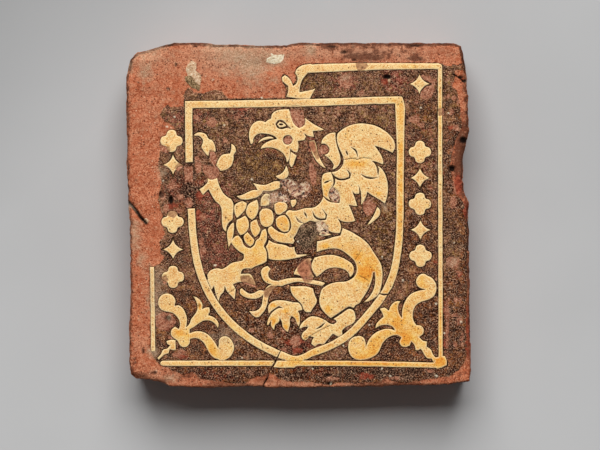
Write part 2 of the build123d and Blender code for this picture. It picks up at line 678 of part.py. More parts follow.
# Red clay body: undercut sides, a worn arris, one recess for each inlay, then its old damage.
with BuildPart() as tile_body:
    with BuildSketch(Plane.XY):
        rim(SIDE_UNDERCUT)
    with BuildSketch(Plane.XY.offset(TILE_THICKNESS - ARRIS_HEIGHT)):
        rim(0)
    with BuildSketch(FACE):
        rim(ARRIS_WIDTH)
    loft(ruled=True)
    with BuildSketch(FACE):
        for art in INLAYS.values():
            add(art.sketch)
    extrude(amount=-INLAY_DEPTH, mode=Mode.SUBTRACT)
    with BuildSketch(FACE):
        groove(*CRACK_ROUTE, width=CRACK_WIDTH, mode=Mode.ADD)
    extrude(amount=-CRACK_DEPTH, mode=Mode.SUBTRACT)
    for place, width, height in PITS:
        for plane, share in ((FACE, 1), (FACE.offset(-PIT_DEPTH), PIT_NARROWING)):
            with BuildSketch(plane):
                with Locations(at(place)):
                    Ellipse(width / 2 * share, height / 2 * share)
        loft(mode=Mode.SUBTRACT)
    with BuildSketch(FACE):
        outline([(124, 200)], [(133, 206), (144, 221)], [(146, 224), (136, 217)], [(124, 212)])
    extrude(amount=-NOTCH_DEPTH, mode=Mode.SUBTRACT)
tile_body.part.label = "tile_body"
export_step(tile_body.part, "parts/tile_body.step")

# White clay inlays, flush with the face and seated on the floor of their recesses.
for name, art in INLAYS.items():
    with BuildPart() as inlay:
        extrude(art.sketch, amount=-INLAY_DEPTH)
    inlay.part.label = name
    export_step(inlay.part, "parts/" + name + ".step")
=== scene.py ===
import math

import bpy
import numpy as np
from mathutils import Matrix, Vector
from mathutils.geometry import delaunay_2d_cdt
from mathutils.kdtree import KDTree


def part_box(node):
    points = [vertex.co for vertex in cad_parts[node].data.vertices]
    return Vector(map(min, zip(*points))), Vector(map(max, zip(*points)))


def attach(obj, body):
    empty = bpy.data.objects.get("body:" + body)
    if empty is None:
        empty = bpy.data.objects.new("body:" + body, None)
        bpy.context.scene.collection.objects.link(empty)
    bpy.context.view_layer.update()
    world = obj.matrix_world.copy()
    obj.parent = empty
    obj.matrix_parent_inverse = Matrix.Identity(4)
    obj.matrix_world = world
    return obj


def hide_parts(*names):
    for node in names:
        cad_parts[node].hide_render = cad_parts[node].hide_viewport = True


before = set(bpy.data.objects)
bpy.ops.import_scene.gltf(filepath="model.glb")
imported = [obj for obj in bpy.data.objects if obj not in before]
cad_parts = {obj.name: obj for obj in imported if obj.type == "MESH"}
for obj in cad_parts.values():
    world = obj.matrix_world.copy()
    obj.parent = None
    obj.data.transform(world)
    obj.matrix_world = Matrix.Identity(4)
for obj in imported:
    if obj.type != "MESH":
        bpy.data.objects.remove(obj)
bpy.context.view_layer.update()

# Everything below is worked out in millimetres and turned into metres as each mesh is made.
METRE = 1000.0
BODY = "tile_body"
INLAYS = sorted(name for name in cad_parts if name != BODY)
tile_low, tile_high = (np.array(corner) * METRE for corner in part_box(BODY))
FACE = tile_high[2]
RECESS_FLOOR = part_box(INLAYS[0])[0].z * METRE

# Places on the face are given on a drawing grid: x to the right and y down, in steps of which
# DRAWING_STEPS span the tile, with DRAWING_CENTRE over the tile's middle.
DRAWING_STEPS = 346
DRAWING_CENTRE = (298.5, 215.0)
PICTURE_CENTRE = (300.0, 225.0)
PICTURE_WIDTH = 600
STEP = (tile_high[1] - tile_low[1]) / DRAWING_STEPS

# How finely the meshes are divided, in millimetres.
GRID = 0.52
EDGE_SPACING = 0.36
RIM_SPACING = 0.5
CRACK_SPACING = 0.25
BASE_GRID = 1.7

# Outlines: how sharp a turn stays a corner, how uneven two runs are that meet at one, how long the
# longer of them is then, and how far the hand strayed.
CORNER_TURN = math.radians(50)
EVEN_RATIO = 2.3
LONG_RUN = 3
WOBBLE = 0.055

# The worn arris of the face, the thin groove along every outline, and the rows of points beside it.
ARRIS_WIDTH = 0.5
GROOVE_DEPTH = 0.1
GROOVE_WIDTH = 0.22
LIP_OFFSET = 0.27

# How far from an outline or the rim, in millimetres, the distance masks stop counting.
EDGE_REACH = 2
RIM_REACH = 8


def at(points):
    """Drawing places as millimetres on the tile."""
    points = np.atleast_2d(np.asarray(points, float))
    return (points - DRAWING_CENTRE) * (STEP, -STEP)


def ease(values, low, high):
    """0 below low, 1 above high, and a smooth rise between them."""
    share = np.clip((values - low) / (high - low), 0, 1)
    return share * share * (3 - 2 * share)


def hills(points, size, seed):
    """Smooth random hills about size millimetres apart, between -1 and 1."""
    table = np.random.RandomState(seed).uniform(-1, 1, (256, 256))
    cell = np.floor(points / size).astype(int)
    share = points / size - cell
    share = share * share * (3 - 2 * share)
    x, y = cell.T % 256
    right, up = (x + 1) % 256, (y + 1) % 256
    u, v = share.T
    lower = table[x, y] * (1 - u) + table[right, y] * u
    upper = table[x, up] * (1 - u) + table[right, up] * u
    return lower * (1 - v) + upper * v


# Outlines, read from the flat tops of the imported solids.


def flat_loops(name, level):
    """The closed edges of a solid's flat faces at a level, in millimetres."""
    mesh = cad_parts[name].data
    keys = [tuple(round(value * METRE, 3) for value in vertex.co) for vertex in mesh.vertices]
    edges = set()
    for polygon in mesh.polygons:
        corners = [keys[index] for index in polygon.vertices]
        if all(abs(corner[2] - level) < 0.01 for corner in corners):
            for edge in zip(corners, corners[1:] + corners[:1]):
                if edge[::-1] in edges:
                    edges.remove(edge[::-1])
                else:
                    edges.add(edge)
    following = {}
    for start, end in sorted(edges):
        following.setdefault(start, []).append(end)
    loops = []
    while following:
        start = here = min(following)
        loop = []
        while here in following:
            loop.append(here[:2])
            ends = following[here]
            if len(ends) == 1:
                del following[here]
            here = ends.pop()
            if here == start:
                break
        if len(loop) > 2:
            loops.append(np.array(loop))
    return loops


def flowing(loop):
    """A loop through the same points, curved where its short straight cuts are nearly in line."""
    back, on = loop - np.roll(loop, 1, 0), np.roll(loop, -1, 0) - loop
    back_length, on_length = np.hypot(*back.T), np.hypot(*on.T)
    turn = np.abs(np.arctan2(back[:, 0] * on[:, 1] - back[:, 1] * on[:, 0], (back * on).sum(1)))
    longer = np.maximum(back_length, on_length)
    uneven = longer > EVEN_RATIO * np.minimum(back_length, on_length)
    corner = (turn > CORNER_TURN) | (uneven & (longer > LONG_RUN))
    tangent = back / back_length[:, None] + on / on_length[:, None]
    tangent /= np.hypot(*tangent.T)[:, None]
    points = []
    for here in range(len(loop)):
        there = (here + 1) % len(loop)
        chord, length = on[here], on_length[here]
        leave = chord if corner[here] else tangent[here] * length
        arrive = chord if corner[there] else tangent[there] * length
        pieces = max(1, round(length / EDGE_SPACING))
        for share in np.arange(pieces) / pieces:
            square, cube = share ** 2, share ** 3
            points.append(
                (2 * cube - 3 * square + 1) * loop[here]
                + (cube - 2 * square + share) * leave
                + (3 * square - 2 * cube) * loop[there]
                + (cube - square) * arrive
            )
    return np.array(points)


def shaky(points):
    """The small unevenness of outlines that were cut and pressed by hand."""
    across = hills(points, 2.6, 11) + 0.5 * hills(points, 0.9, 12)
    along = hills(points, 2.6, 13) + 0.5 * hills(points, 0.9, 14)
    return points + WOBBLE * np.stack([across, along], 1)


def inside(points, loops):
    """Which points lie inside closed loops."""
    order = np.argsort(points[:, 1], kind="stable")
    x, y = points[order].T
    odd = np.zeros(len(points), bool)
    for loop in loops:
        for start, end in zip(loop, np.roll(loop, -1, 0)):
            if start[1] == end[1]:
                continue
            first, last = np.searchsorted(y, sorted((start[1], end[1])))
            slope = (end[0] - start[0]) / (end[1] - start[1])
            odd[first:last] ^= x[first:last] < start[0] + (y[first:last] - start[1]) * slope
    result = np.empty_like(odd)
    result[order] = odd
    return result


def distance_to(points, route, closed=False):
    """Distance from each point to a route of straight runs, and the share of the way along it."""
    ends = np.roll(route, -1, 0) if closed else route[1:]
    lengths = np.hypot(*(ends - route[:len(ends)]).T)
    reached = np.concatenate([[0], np.cumsum(lengths)])
    nearest = np.full(len(points), np.inf)
    way = np.zeros(len(points))
    for index, (start, end) in enumerate(zip(route, ends)):
        along = end - start
        share = np.clip((points - start) @ along / (along @ along), 0, 1)
        distance = np.hypot(*(points - start - share[:, None] * along).T)
        closer = distance < nearest
        nearest[closer] = distance[closer]
        way[closer] = (reached[index] + share[closer] * lengths[index]) / reached[-1]
    return nearest, way


class Nearest:
    """Distances to a cloud of points on outlines."""

    def __init__(self, loops):
        fine = []
        for loop in loops:
            following = np.roll(loop, -1, 0)
            for share in (0, 1 / 3, 2 / 3):
                fine.append(loop + share * (following - loop))
        self.points = np.concatenate(fine)
        self.tree = KDTree(len(self.points))
        for index, (x, y) in enumerate(self.points):
            self.tree.insert((x, y, 0), index)
        self.tree.balance()

    def __call__(self, points):
        return np.array([self.tree.find((x, y, 0))[2] for x, y in points])


# Wear and damage of the face, on the drawing grid.

# The glaze is gone from the left, the top and the rim, down to bare red clay.
BARE_FIELDS = (
    ((120, 36), (480, 36), (480, 60), (447, 66), (436, 62.5), (305, 63.5), (296.5, 68), (294, 72),
     (296, 80), (292, 84), (288, 76), (283, 73), (281, 77), (285, 87), (285, 97.5), (228, 98), (220, 90),
     (211, 90), (205, 93), (194, 92.5), (189, 87), (184, 92), (183, 106), (170.5, 107), (167.5, 104),
     (162, 109.5), (159.5, 115), (163.6, 121.5), (170, 123.5), (175, 128), (178, 134), (172, 142),
     (160, 150), (158, 165), (161.5, 177.5), (160, 191), (158, 199.5), (160, 208), (164, 219), (163, 228),
     (165, 234), (159.5, 241), (160, 253), (164.5, 257), (160, 263), (151.2, 268), (150.5, 300),
     (151, 352), (157, 363), (168, 368), (170.5, 370), (184, 375.5), (193.5, 372), (200.5, 379),
     (214, 381), (235, 383.5), (245, 383.5), (256.5, 375.5), (262.5, 377), (269, 372), (280.5, 380),
     (296, 382.5), (305, 381.5), (315, 383), (330, 385), (344, 382), (352, 384), (364, 383), (377, 382.5),
     (381, 381.5), (386.5, 376), (391, 381), (405, 383), (420, 381), (432.5, 378.5), (451, 375.5),
     (460, 368.5), (465.5, 360.5), (467.5, 350), (467, 270), (467.5, 230), (466, 205), (458, 196),
     (452, 178), (450, 165), (454, 146), (456, 139), (462, 128), (460, 105), (457, 91), (452, 86),
     (455, 78), (455, 71), (444, 70), (480, 70), (480, 400), (120, 400)),
)
# A patch of glaze that is left within the bare clay.
GLAZE_PATCHES = (
    ((166, 88), (169, 86), (170, 90), (167, 91)),
)
# Flakes lost from the glaze, down to pinkish clay: x, y, half width, half height.
BARE_SPOTS = (
    (212.5, 122.5, 5, 5), (196, 117, 3.5, 3), (236, 118.5, 2.2, 2), (202.7, 216.5, 3.2, 3),
    (201.5, 242, 2.8, 4), (203, 251.5, 3.2, 3), (214.7, 245.5, 1.8, 2), (189, 203, 3.5, 5),
    (415, 119, 5, 4), (421, 125, 3.2, 2.5), (417, 102, 2, 1.8), (425.5, 87, 9.5, 12), (345, 81, 7, 7),
    (362, 92, 1.8, 2.5), (270, 335, 3.5, 3), (295, 341, 5, 6), (283, 350, 4, 3), (352, 297, 2, 2),
    (447, 331, 1.6, 22), (447, 312, 2.2, 8), (331, 378.6, 7.5, 1.8), (453, 262, 6.5, 6),
    (458.5, 272, 2.5, 3), (453.5, 98, 2.5, 3), (452, 112, 2.5, 2.5), (456, 128, 2.5, 4),
    (459, 100, 2.2, 5), (457, 183, 4.5, 10), (453.5, 201, 3, 6), (165, 321, 10, 9), (171, 338, 3, 2.5),
    (182, 352, 4, 3), (459, 320, 3, 4), (455, 300, 2.5, 2.5), (462, 340, 2, 6), (225, 140, 1.8, 2.6),
    (285, 330, 5, 3), (252, 330, 2.6, 2), (247, 118, 1.6, 1.6), (370, 207, 6, 8), (317, 156, 4, 9),
    (340, 62, 6, 2), (172, 186, 6, 3.5), (163, 196, 2.6, 4), (180, 197, 4, 3), (176, 211, 5, 2.6),
    (166, 207, 2.6, 4), (199, 120, 2.6, 2), (232, 131, 1.4, 1.4), (247, 108, 1.6, 1.2), (413, 82, 2, 2),
    (431, 140, 1.6, 2.2), (455, 83, 4, 3), (449, 96, 1.8, 2.2), (452, 150, 2, 1.6), (447, 140, 2, 1.4),
    (345, 73, 2, 1.6), (375, 106, 1.6, 1.2), (337, 108, 2, 1.2), (384, 110, 2, 1.4), (214, 205, 1.4, 2),
    (280, 140, 1.2, 1.2), (176, 355, 3.4, 2.4), (185, 360, 3, 1.8), (455, 315, 3, 2), (461, 300, 1.6, 4),
    (455, 345, 2, 3), (448, 300, 1.4, 2), (395, 378, 5, 1.6), (430, 371, 2.4, 1.4), (250, 372, 3, 1.6),
    (229, 372, 2.4, 1.4),
)
# Patches of the glaze that are rusty red: x, y, half width, half height.
RED_SPOTS = (
    (290, 342, 5, 2.6), (300, 341, 4, 2.6), (297, 350, 4.5, 3), (446, 311.5, 2.2, 8), (445.3, 342, 2, 8),
    (458, 184.5, 4.6, 11), (466.4, 211, 2.4, 9), (459.5, 274, 2.6, 3.4), (468.2, 335, 1.9, 27),
    (166, 322, 8.5, 8.5), (171, 206, 6, 3.4), (197, 216, 5, 6), (240, 107, 8, 3), (199, 196, 3, 4),
    (318, 345, 5, 2), (252, 343, 3.4, 2), (385, 81, 3, 4), (452, 128, 3, 2), (366, 376, 8, 3),
    (182, 357, 5, 3), (436, 262, 3, 2), (283, 352, 3, 2), (396, 262, 3, 2.4), (325, 296, 4, 2),
)
# Where a fill has fallen out or worn through, pink-brown clay shows.
LOST_FILLS = (
    ((184, 167), (192.5, 166), (193.5, 204), (190, 207.5), (186.5, 206)),
    ((355.5, 63), (361, 62), (367, 63.2), (368, 65.5), (364, 70.5), (358, 70.5), (356.5, 67)),
    ((438, 108.5), (443.5, 108), (443.5, 115.5), (438.5, 116)),
    ((290, 109), (303, 110), (304, 116), (305, 125), (299, 128.3), (294, 124), (290.5, 116)),
    ((283.2, 140), (286, 136.2), (290, 136), (292.5, 140), (290, 144), (286, 144.2)),
    ((319.5, 149), (322, 145), (327, 145.5), (329, 150), (326, 154), (321, 153.5)),
    ((209, 150), (213, 149), (216, 155), (216.5, 163), (214, 166), (210.5, 160)),
    ((203, 164), (210, 166), (217, 166), (219.5, 172), (218, 178), (212, 179.5), (206, 177), (203, 171)),
    ((195, 156), (199, 157), (201.5, 163), (201, 171), (197, 174), (195, 166)),
    ((309, 162), (313, 163), (316.5, 172), (316, 185), (311.5, 184), (309, 174)),
    ((363, 202), (369, 199), (374, 203), (373, 211), (368, 216), (363.5, 211)),
    ((297, 266), (303, 259), (310, 257.5), (311.5, 264), (311, 270), (313.5, 276), (311, 283), (304, 283),
     (302, 277.2), (297.5, 272.5)),
    ((308.5, 141), (314.5, 141), (317, 150), (320, 158), (317, 160), (312.5, 152), (309, 146)),
    ((263.5, 290), (271, 285.5), (277, 286), (272, 291.5), (268, 298), (264, 297)),
    ((240, 276), (249, 275.8), (254, 280), (257, 287.5), (247, 284.5), (240.5, 281.5)),
    ((330, 190), (334, 187), (338, 192), (340, 198), (336, 203), (331, 200)),
    ((159, 144), (164, 147), (169, 146), (171, 151), (166, 153), (160, 150)),
    ((174, 168), (179, 162), (183, 166), (178, 171)),
    ((168, 211), (174, 209), (178, 214), (174, 218), (168, 216)),
    ((161, 277), (166, 275), (169, 280), (164, 285)),
)
# The broken place at the neck, where grey lime, red clay and dark glaze lie in small patches.
BROKEN_FIELDS = (
    ((279.5, 181), (284, 179.5), (289, 179), (295, 181), (298, 186), (302, 183), (306, 181), (310, 185),
     (311, 190), (306, 197), (299, 198), (292.5, 196), (287, 191), (281, 187)),
    ((270, 193.5), (276, 192), (283, 192.5), (289, 196.5), (290, 201), (283, 203), (276, 201.5),
     (270, 203), (267.5, 198)),
    ((331, 188), (334, 187), (338, 191), (340, 198), (337, 203), (331, 200), (329.5, 194)),
    ((316, 221), (322, 220), (328, 226), (329, 233), (322, 236), (317, 230)),
)
# Worn places with a thin grey film of lime, on clay, glaze and fill alike.
LIME_FIELDS = (
    ((206, 44), (232, 45), (262, 51), (283, 56.4), (279, 64), (270, 69), (263, 77), (252, 82), (244, 77),
     (236, 67), (224, 58), (207, 51)),
    ((137, 52), (147, 49), (162, 46), (160, 55), (150, 58), (140, 62), (134, 60)),
    ((266, 194), (275, 195), (276, 202), (270, 204), (265, 201)),
    ((216, 336), (224, 332), (233, 337), (232, 343), (222, 342)),
    ((151, 268), (158, 269), (157, 310), (151, 310)),
)
LIME_SPOTS = (
    (146, 72, 7, 9), (226, 72, 4, 4), (171, 378, 7, 4), (152, 352, 7, 6), (135, 235, 6, 14),
    (274, 80, 6, 3), (311, 50, 6, 6), (130, 66, 3, 7), (363, 66, 5, 3.5), (142, 258, 5, 6),
    (385, 208, 4, 4), (453, 262, 4, 4), (300, 222, 5, 5), (347, 78, 4, 4), (162, 172, 4, 5),
)
# Lumps of old mortar that still stick to the face.
MORTAR_LUMPS = (
    ((187.7, 64.4), (191.7, 60.1), (196.3, 62.7), (196.5, 68.5), (193.5, 72.2), (187.7, 74),
     (185.4, 69.6)),
    ((187.7, 72), (195, 70.5), (200.4, 73.6), (201.7, 79.4), (200.2, 85), (195, 83.5), (191.5, 78),
     (187, 76)),
    ((143.4, 219.6), (146, 218), (148.7, 220.5), (147.5, 223.5), (144.6, 223)),
    ((387.8, 78), (390.6, 78.4), (390.4, 82), (388, 82.4)),
    ((167, 315.5), (170.4, 315), (171.6, 318), (169, 320.6), (166.8, 318.6)),
)
# The greenish foot of the biggest lump.
GREEN_FIELDS = (
    ((184.9, 75.9), (191.2, 75.9), (195.8, 82.8), (200.6, 85.8), (199.2, 90.8), (191.2, 87.4),
     (185.4, 81.7)),
)
# A splash of whitewash.
WHITE_FIELDS = (
    ((269.8, 52.2), (274.4, 54.9), (284.3, 54.4), (283.6, 58.7), (280.7, 62.7), (274.4, 64.2),
     (266.2, 62.3), (266.9, 58.1), (271.5, 56)),
)
# Small white flecks of grit: x, y, size.
FLECKS = (
    (247, 131, 0.9), (252, 179, 0.9), (215.3, 265.3, 1.5), (402.5, 280.5, 1.3), (369.5, 325, 1.2),
    (436.5, 304, 1.3), (382, 257, 1.5), (247, 312, 1.1), (242, 357.5, 1.2), (343, 345.5, 1),
    (312.5, 369, 1), (444.5, 333, 1.4), (163, 180.5, 1.2), (224.5, 125, 1.4), (174.3, 117, 1),
    (167, 127, 1.4), (171, 131, 1), (157, 371, 1.3), (382.5, 368.5, 1.4), (436.5, 376, 1.5),
    (400, 371, 1), (390, 376, 0.9), (213.6, 80, 1), (208.4, 115, 0.8), (461, 322, 1.5), (453.5, 243, 0.9),
    (331, 383.5, 1.3), (298, 241.5, 1.3), (301, 202, 1), (421, 107, 0.9), (205, 180, 0.8),
    (262, 97.5, 0.8), (448.5, 113, 1), (236, 301, 0.9),
)
# Pits that go deep into the clay, blackened by painted shade: x, y, half width, half height, depth in
# millimetres.
PITS = (
    (171, 200, 2.4, 4.4, 1.5), (387, 77, 4.2, 2.4, 1.3), (452, 168.5, 3, 3.4, 1.2),
    (301, 114, 1.2, 1.2, 0.4), (291, 237, 0.8, 0.8, 0.5), (328, 375, 3.4, 1.4, 0.7),
    (329.5, 384, 3, 1.6, 0.9), (161.5, 195, 3, 3, 0.4), (176, 65, 1, 2, 0.6), (202, 75, 1.2, 1, 0.4),
    (199, 305.5, 1.2, 1.6, 0.3), (398.5, 104.7, 0.9, 0.6, 0.5), (154, 373, 3, 1.4, 0.5),
    (143, 351, 1.4, 3, 0.5), (262, 204, 0.8, 0.8, 0.3), (415, 67, 0.6, 0.6, 0.4), (195, 46, 2, 1, 0.5),
    (158, 46, 3, 1, 0.6), (169, 44.5, 2.5, 0.8, 0.6), (355, 60, 3, 0.9, 0.5), (332, 46.5, 5, 1.2, 0.5),
    (344, 52, 3.6, 1.6, 0.6), (416, 45.5, 8, 1.1, 0.5), (461, 77, 3, 1.4, 0.7), (464, 81, 2.5, 1.4, 0.8),
    (463, 140, 3.4, 3.4, 1), (281, 186, 1.4, 2, 0.5), (303, 194, 2, 1.2, 0.5), (206, 213, 0.9, 0.9, 0.4),
    (226, 218, 1, 1.6, 0.4), (262, 338.5, 1, 0.6, 0.3), (453, 330, 4, 1, 0.3), (458, 338, 3, 1, 0.3),
    (168, 318, 3.4, 2.6, 0.4),
)
# Broad hollows and broken rims: x, y, half width, half height, depth in millimetres.
HOLLOWS = (
    (146, 51, 24, 10, 1.8), (128, 66, 9, 17, 1.2), (136, 380, 24, 9, 2.0), (160, 384, 16, 6, 1.2),
    (468, 158, 11, 21, 2.2), (130, 210, 10, 14, 1.0), (452, 168, 7, 7, 0.4), (265, 384, 12, 7, 0.9),
    (212, 47, 40, 5, 0.5), (330, 383, 18, 4, 0.7), (468, 78, 9, 9, 0.7), (262, 66, 24, 9, 0.4),
    (293, 190, 14, 9, 0.5), (305, 238, 12, 16, 0.25), (471, 362, 9, 26, 0.9), (400, 386, 60, 4, 0.6),
    (228, 386, 40, 4, 0.5), (127, 130, 5, 50, 0.6), (128, 300, 5, 60, 0.6),
)
# Cracks: their routes, then half width and depth in millimetres.
CRACKS = (
    (((262, 390), (264, 384), (267.5, 378)), 0.42, 1.3),
    (((267.5, 378), (269, 373), (272, 367)), 0.24, 0.6),
    (((272, 367), (276, 360.5), (281, 350.5)), 0.2, 0.5),
    (((124, 198), (131, 205), (136, 211), (141, 218), (146, 223)), 0.9, 1.6),
    (((261, 343.5), (263, 349.5)), 0.2, 0.4),
    (((379, 293.6), (384, 294.8), (391, 294.2)), 0.2, 0.4),
    (((355, 260.5), (357.5, 256.5), (361.5, 250)), 0.14, 0.3),
    (((360, 276), (364, 278), (368, 280.5)), 0.22, 0.4),
    (((331, 318.5), (338, 314), (344, 310), (349, 307.3), (353, 308)), 0.22, 0.5),
    (((299, 302), (300.5, 304.5), (302.3, 306.5)), 0.16, 0.35),
    (((343, 160), (352, 158.3), (357, 159.5), (363, 157.8), (371, 158.6)), 0.2, 0.45),
    (((272, 363), (276, 360), (285, 360.2)), 0.2, 0.4),
    (((304, 360), (313, 359.6)), 0.2, 0.4),
    (((302, 341), (318, 331.5), (331, 325)), 0.2, 0.35),
    (((204, 361.8), (205.5, 365.4)), 0.14, 0.3),
    (((325, 183.5), (328, 181), (331.5, 180.5)), 0.14, 0.3),
    (((404, 308), (408, 310.5), (411, 314)), 0.12, 0.25),
    (((453, 74), (458, 77), (465, 82)), 0.5, 0.9),
    (((228, 293), (233, 291), (239, 283)), 0.14, 0.3),
    (((439, 184.5), (442, 185.5)), 0.18, 0.4),
    (((286, 105), (300, 106)), 0.12, 0.2),
)
# Tints of glaze and worn fills, greener and redder: x, y, half width, half height, strength.
OLIVE_CLOUDS = (
    (262, 168, 30, 24, 1), (215, 130, 18, 16, 0.4), (383, 240, 14, 40, 0.5), (380, 120, 20, 10, 0.5),
    (310, 82, 24, 12, 0.6), (243, 330, 24, 20, 0.5), (425, 120, 14, 18, 0.6), (452, 95, 8, 20, 0.5),
    (275, 172, 22, 14, 0.6), (455, 240, 9, 30, 0.4), (306, 238, 13, 16, 1.1), (384, 200, 10, 30, 0.4),
)
PLUM_CLOUDS = (
    (205, 190, 22, 12, 1), (210, 225, 14, 22, 0.8), (215, 255, 22, 14, 0.7), (195, 118, 14, 10, 0.6),
    (345, 82, 12, 10, 0.7), (180, 190, 14, 14, 0.8), (240, 112, 12, 8, 0.6), (298, 345, 22, 12, 0.6),
    (395, 80, 14, 12, 0.8), (325, 372, 30, 8, 0.4), (175, 120, 12, 10, 0.4), (420, 150, 16, 30, 0.3),
    (210, 376, 24, 6, 0.8), (270, 150, 14, 10, 0.3), (304, 270, 9, 13, 1.3), (312, 147, 5, 9, 1.2),
)
# Where glaze and bare clay are darkest, given as the tints are.
DARK_CLOUDS = (
    (300, 374, 150, 9, 0.6), (390, 374, 60, 9, 0.8), (454, 330, 10, 50, 0.5), (430, 325, 24, 40, 0.35),
    (270, 325, 34, 26, 0.35), (320, 300, 26, 12, 0.4), (420, 230, 16, 60, 0.3), (392, 340, 40, 22, 0.35),
    (185, 325, 34, 36, 0.4), (225, 340, 30, 24, 0.3), (300, 260, 30, 14, 0.45), (300, 300, 60, 24, 0.35),
    (296, 238, 18, 22, 0.4), (320, 200, 14, 20, 0.3), (205, 376, 34, 8, 0.3), (455, 170, 9, 30, 0.4),
    (290, 158, 10, 20, 0.4), (366, 56, 30, 7, 0.6), (415, 58, 14, 5, 0.6), (425, 110, 14, 30, 0.2),
    (466, 150, 9, 40, 0.8), (370, 210, 16, 10, 0.3), (189, 194, 8, 15, 1.8), (468, 250, 6, 90, 0.7),
    (461, 160, 9, 45, 0.8), (466, 90, 6, 20, 0.6), (128, 100, 4, 60, 0.5), (128, 250, 4, 70, 0.5),
    (215, 45, 60, 4, 0.5), (390, 50, 60, 7, 0.35), (352, 56, 8, 3.6, 0.9), (372, 58, 13, 2.6, 0.8),
    (416, 59, 11, 2.6, 0.9), (380, 45, 70, 3, 0.7), (330, 47, 10, 3, 0.8), (132, 365, 6, 20, 0.6),
)
# Orange stains in the fills: x, y, half width, half height, strength.
STAINS = (
    (355, 164, 14, 4, 0.9), (378.5, 193, 4.5, 2, 1), (366, 274, 10, 7, 1.25), (326, 246, 5, 4, 0.8),
    (356, 256, 6, 7, 0.9), (328.5, 310, 5, 6, 0.8), (199, 306, 3.2, 2.6, 1.2), (211.5, 350, 7, 8, 0.9),
    (406, 338.5, 8, 5, 1.1), (396, 325, 3, 3, 0.8), (273, 305.5, 5, 3, 1), (285.5, 311.5, 4, 2.5, 1.2),
    (278, 203, 5, 2, 0.8), (401, 200, 3, 110, 0.5), (391, 290, 8, 26, 0.4), (440, 330, 3, 34, 0.7),
    (440, 361, 9, 6, 0.9), (350, 362, 60, 4, 0.4), (420, 283, 9, 12, 0.55), (375, 350, 22, 12, 0.35),
    (400, 312, 8, 12, 0.35), (394, 102, 10, 30, 0.35), (340, 262, 16, 26, 0.4), (370, 256, 12, 30, 0.35),
    (272, 322, 6, 6, 1.2), (284, 327, 6, 5, 1.1), (296, 318, 5, 8, 0.8), (308, 340, 6, 3, 0.8),
    (322, 318, 5, 4, 0.7), (178, 333, 6, 4, 0.6), (240, 336, 14, 14, 0.35), (326, 190, 5, 12, 0.7),
    (200, 103, 10, 4, 0.5), (222, 327, 12, 12, 0.3), (262, 283, 10, 6, 0.3), (250, 241, 6, 5, 0.3),
    (285, 220, 12, 10, 0.4), (346, 122, 20, 12, 0.12), (410, 74, 8, 12, 0.6), (440, 112, 3, 30, 0.5),
    (270, 166, 10, 14, 0.3), (288, 228, 14, 12, 0.3), (398, 335, 48, 40, 0.6), (320, 362, 150, 7, 0.6),
    (250, 235, 34, 40, 0.45), (440, 210, 6, 130, 0.25), (195, 318, 34, 30, 0.35), (185, 345, 24, 16, 0.3),
    (368, 268, 14, 16, 0.5), (401, 190, 6, 110, 0.25), (262, 262, 40, 18, 0.2), (335, 350, 30, 8, 0.3),
    (290, 290, 12, 6, 0.4), (240, 291, 4, 3, 0.4), (310, 352, 20, 6, 0.3),
)
# Where the bare clay is paler and pinker, with more pinholes.
DUSTY_CLOUDS = (
    (300, 52, 130, 12, 0.8), (300, 385, 160, 6, 0.6), (225, 62, 40, 18, 0.9), (262, 88, 30, 10, 0.4),
    (400, 52, 60, 9, 0.4), (150, 60, 26, 14, 0.4), (150, 100, 34, 44, 0.3), (160, 375, 30, 10, 0.5),
    (136, 225, 12, 16, 0.4), (140, 345, 10, 14, 0.5),
)
# Dull worn places in the fills and the glaze.
DULL_CLOUDS = (
    (150, 300, 8, 50, 0.6), (199, 103, 20, 5, 0.3), (268, 199, 8, 5, 1), (225, 338, 9, 6, 0.8),
    (362, 66, 7, 4, 0.8), (298, 78, 6, 14, 0.5), (186, 130, 4, 30, 0.4), (318, 226, 12, 12, 0.8),
    (300, 104, 12, 4, 0.4), (337, 194, 8, 12, 0.7), (440, 230, 4, 60, 0.3), (292, 228, 10, 8, 0.5),
    (246, 276, 16, 8, 0.5), (266, 192, 14, 8, 0.5), (385, 205, 6, 8, 0.7), (440, 168, 4, 8, 0.5),
    (235, 240, 12, 12, 0.3), (305, 240, 13, 16, 1.1), (160, 302, 10, 10, 0.25), (285, 204, 8, 4, 0.4),
    (270, 366, 6, 4, 0.4),
)


def field(points, outlines, softness):
    """A mask that is 1 inside closed outlines of drawing points, softened in millimetres."""
    mask = np.zeros(len(points))
    for outline in outlines:
        loop = at(outline)
        depth = distance_to(points, loop, closed=True)[0]
        depth = np.where(inside(points, [loop]), depth, -depth)
        mask = np.maximum(mask, np.clip(0.5 + depth / (2 * softness), 0, 1))
    return mask


def from_oval(points, x, y, width, height):
    """How far points lie from the middle of an oval, as a share of its own reach."""
    return np.hypot(*((points - at((x, y))) / (width * STEP, height * STEP)).T)


def spots(points, places, softness):
    """A mask that is 1 inside ovals given as x, y, half width, half height."""
    mask = np.zeros(len(points))
    for x, y, width, height in places:
        depth = (1 - from_oval(points, x, y, width, height)) * min(width, height) * STEP
        mask = np.maximum(mask, np.clip(0.5 + depth / (2 * softness), 0, 1))
    return mask


def clouds(points, places):
    """Soft heaps given as x, y, half width, half height, strength."""
    total = np.zeros(len(points))
    for *oval, strength in places:
        total += strength * np.exp(-1.2 * from_oval(points, *oval) ** 2)
    return total


def flecks(points):
    """A mask that is 1 on each small fleck of grit."""
    mask = np.zeros(len(points))
    for x, y, size in FLECKS:
        away = from_oval(points, x, y, 0.75 * size, 0.75 * size)
        mask = np.maximum(mask, np.clip(2.4 - 2.2 * away, 0, 1))
    return mask


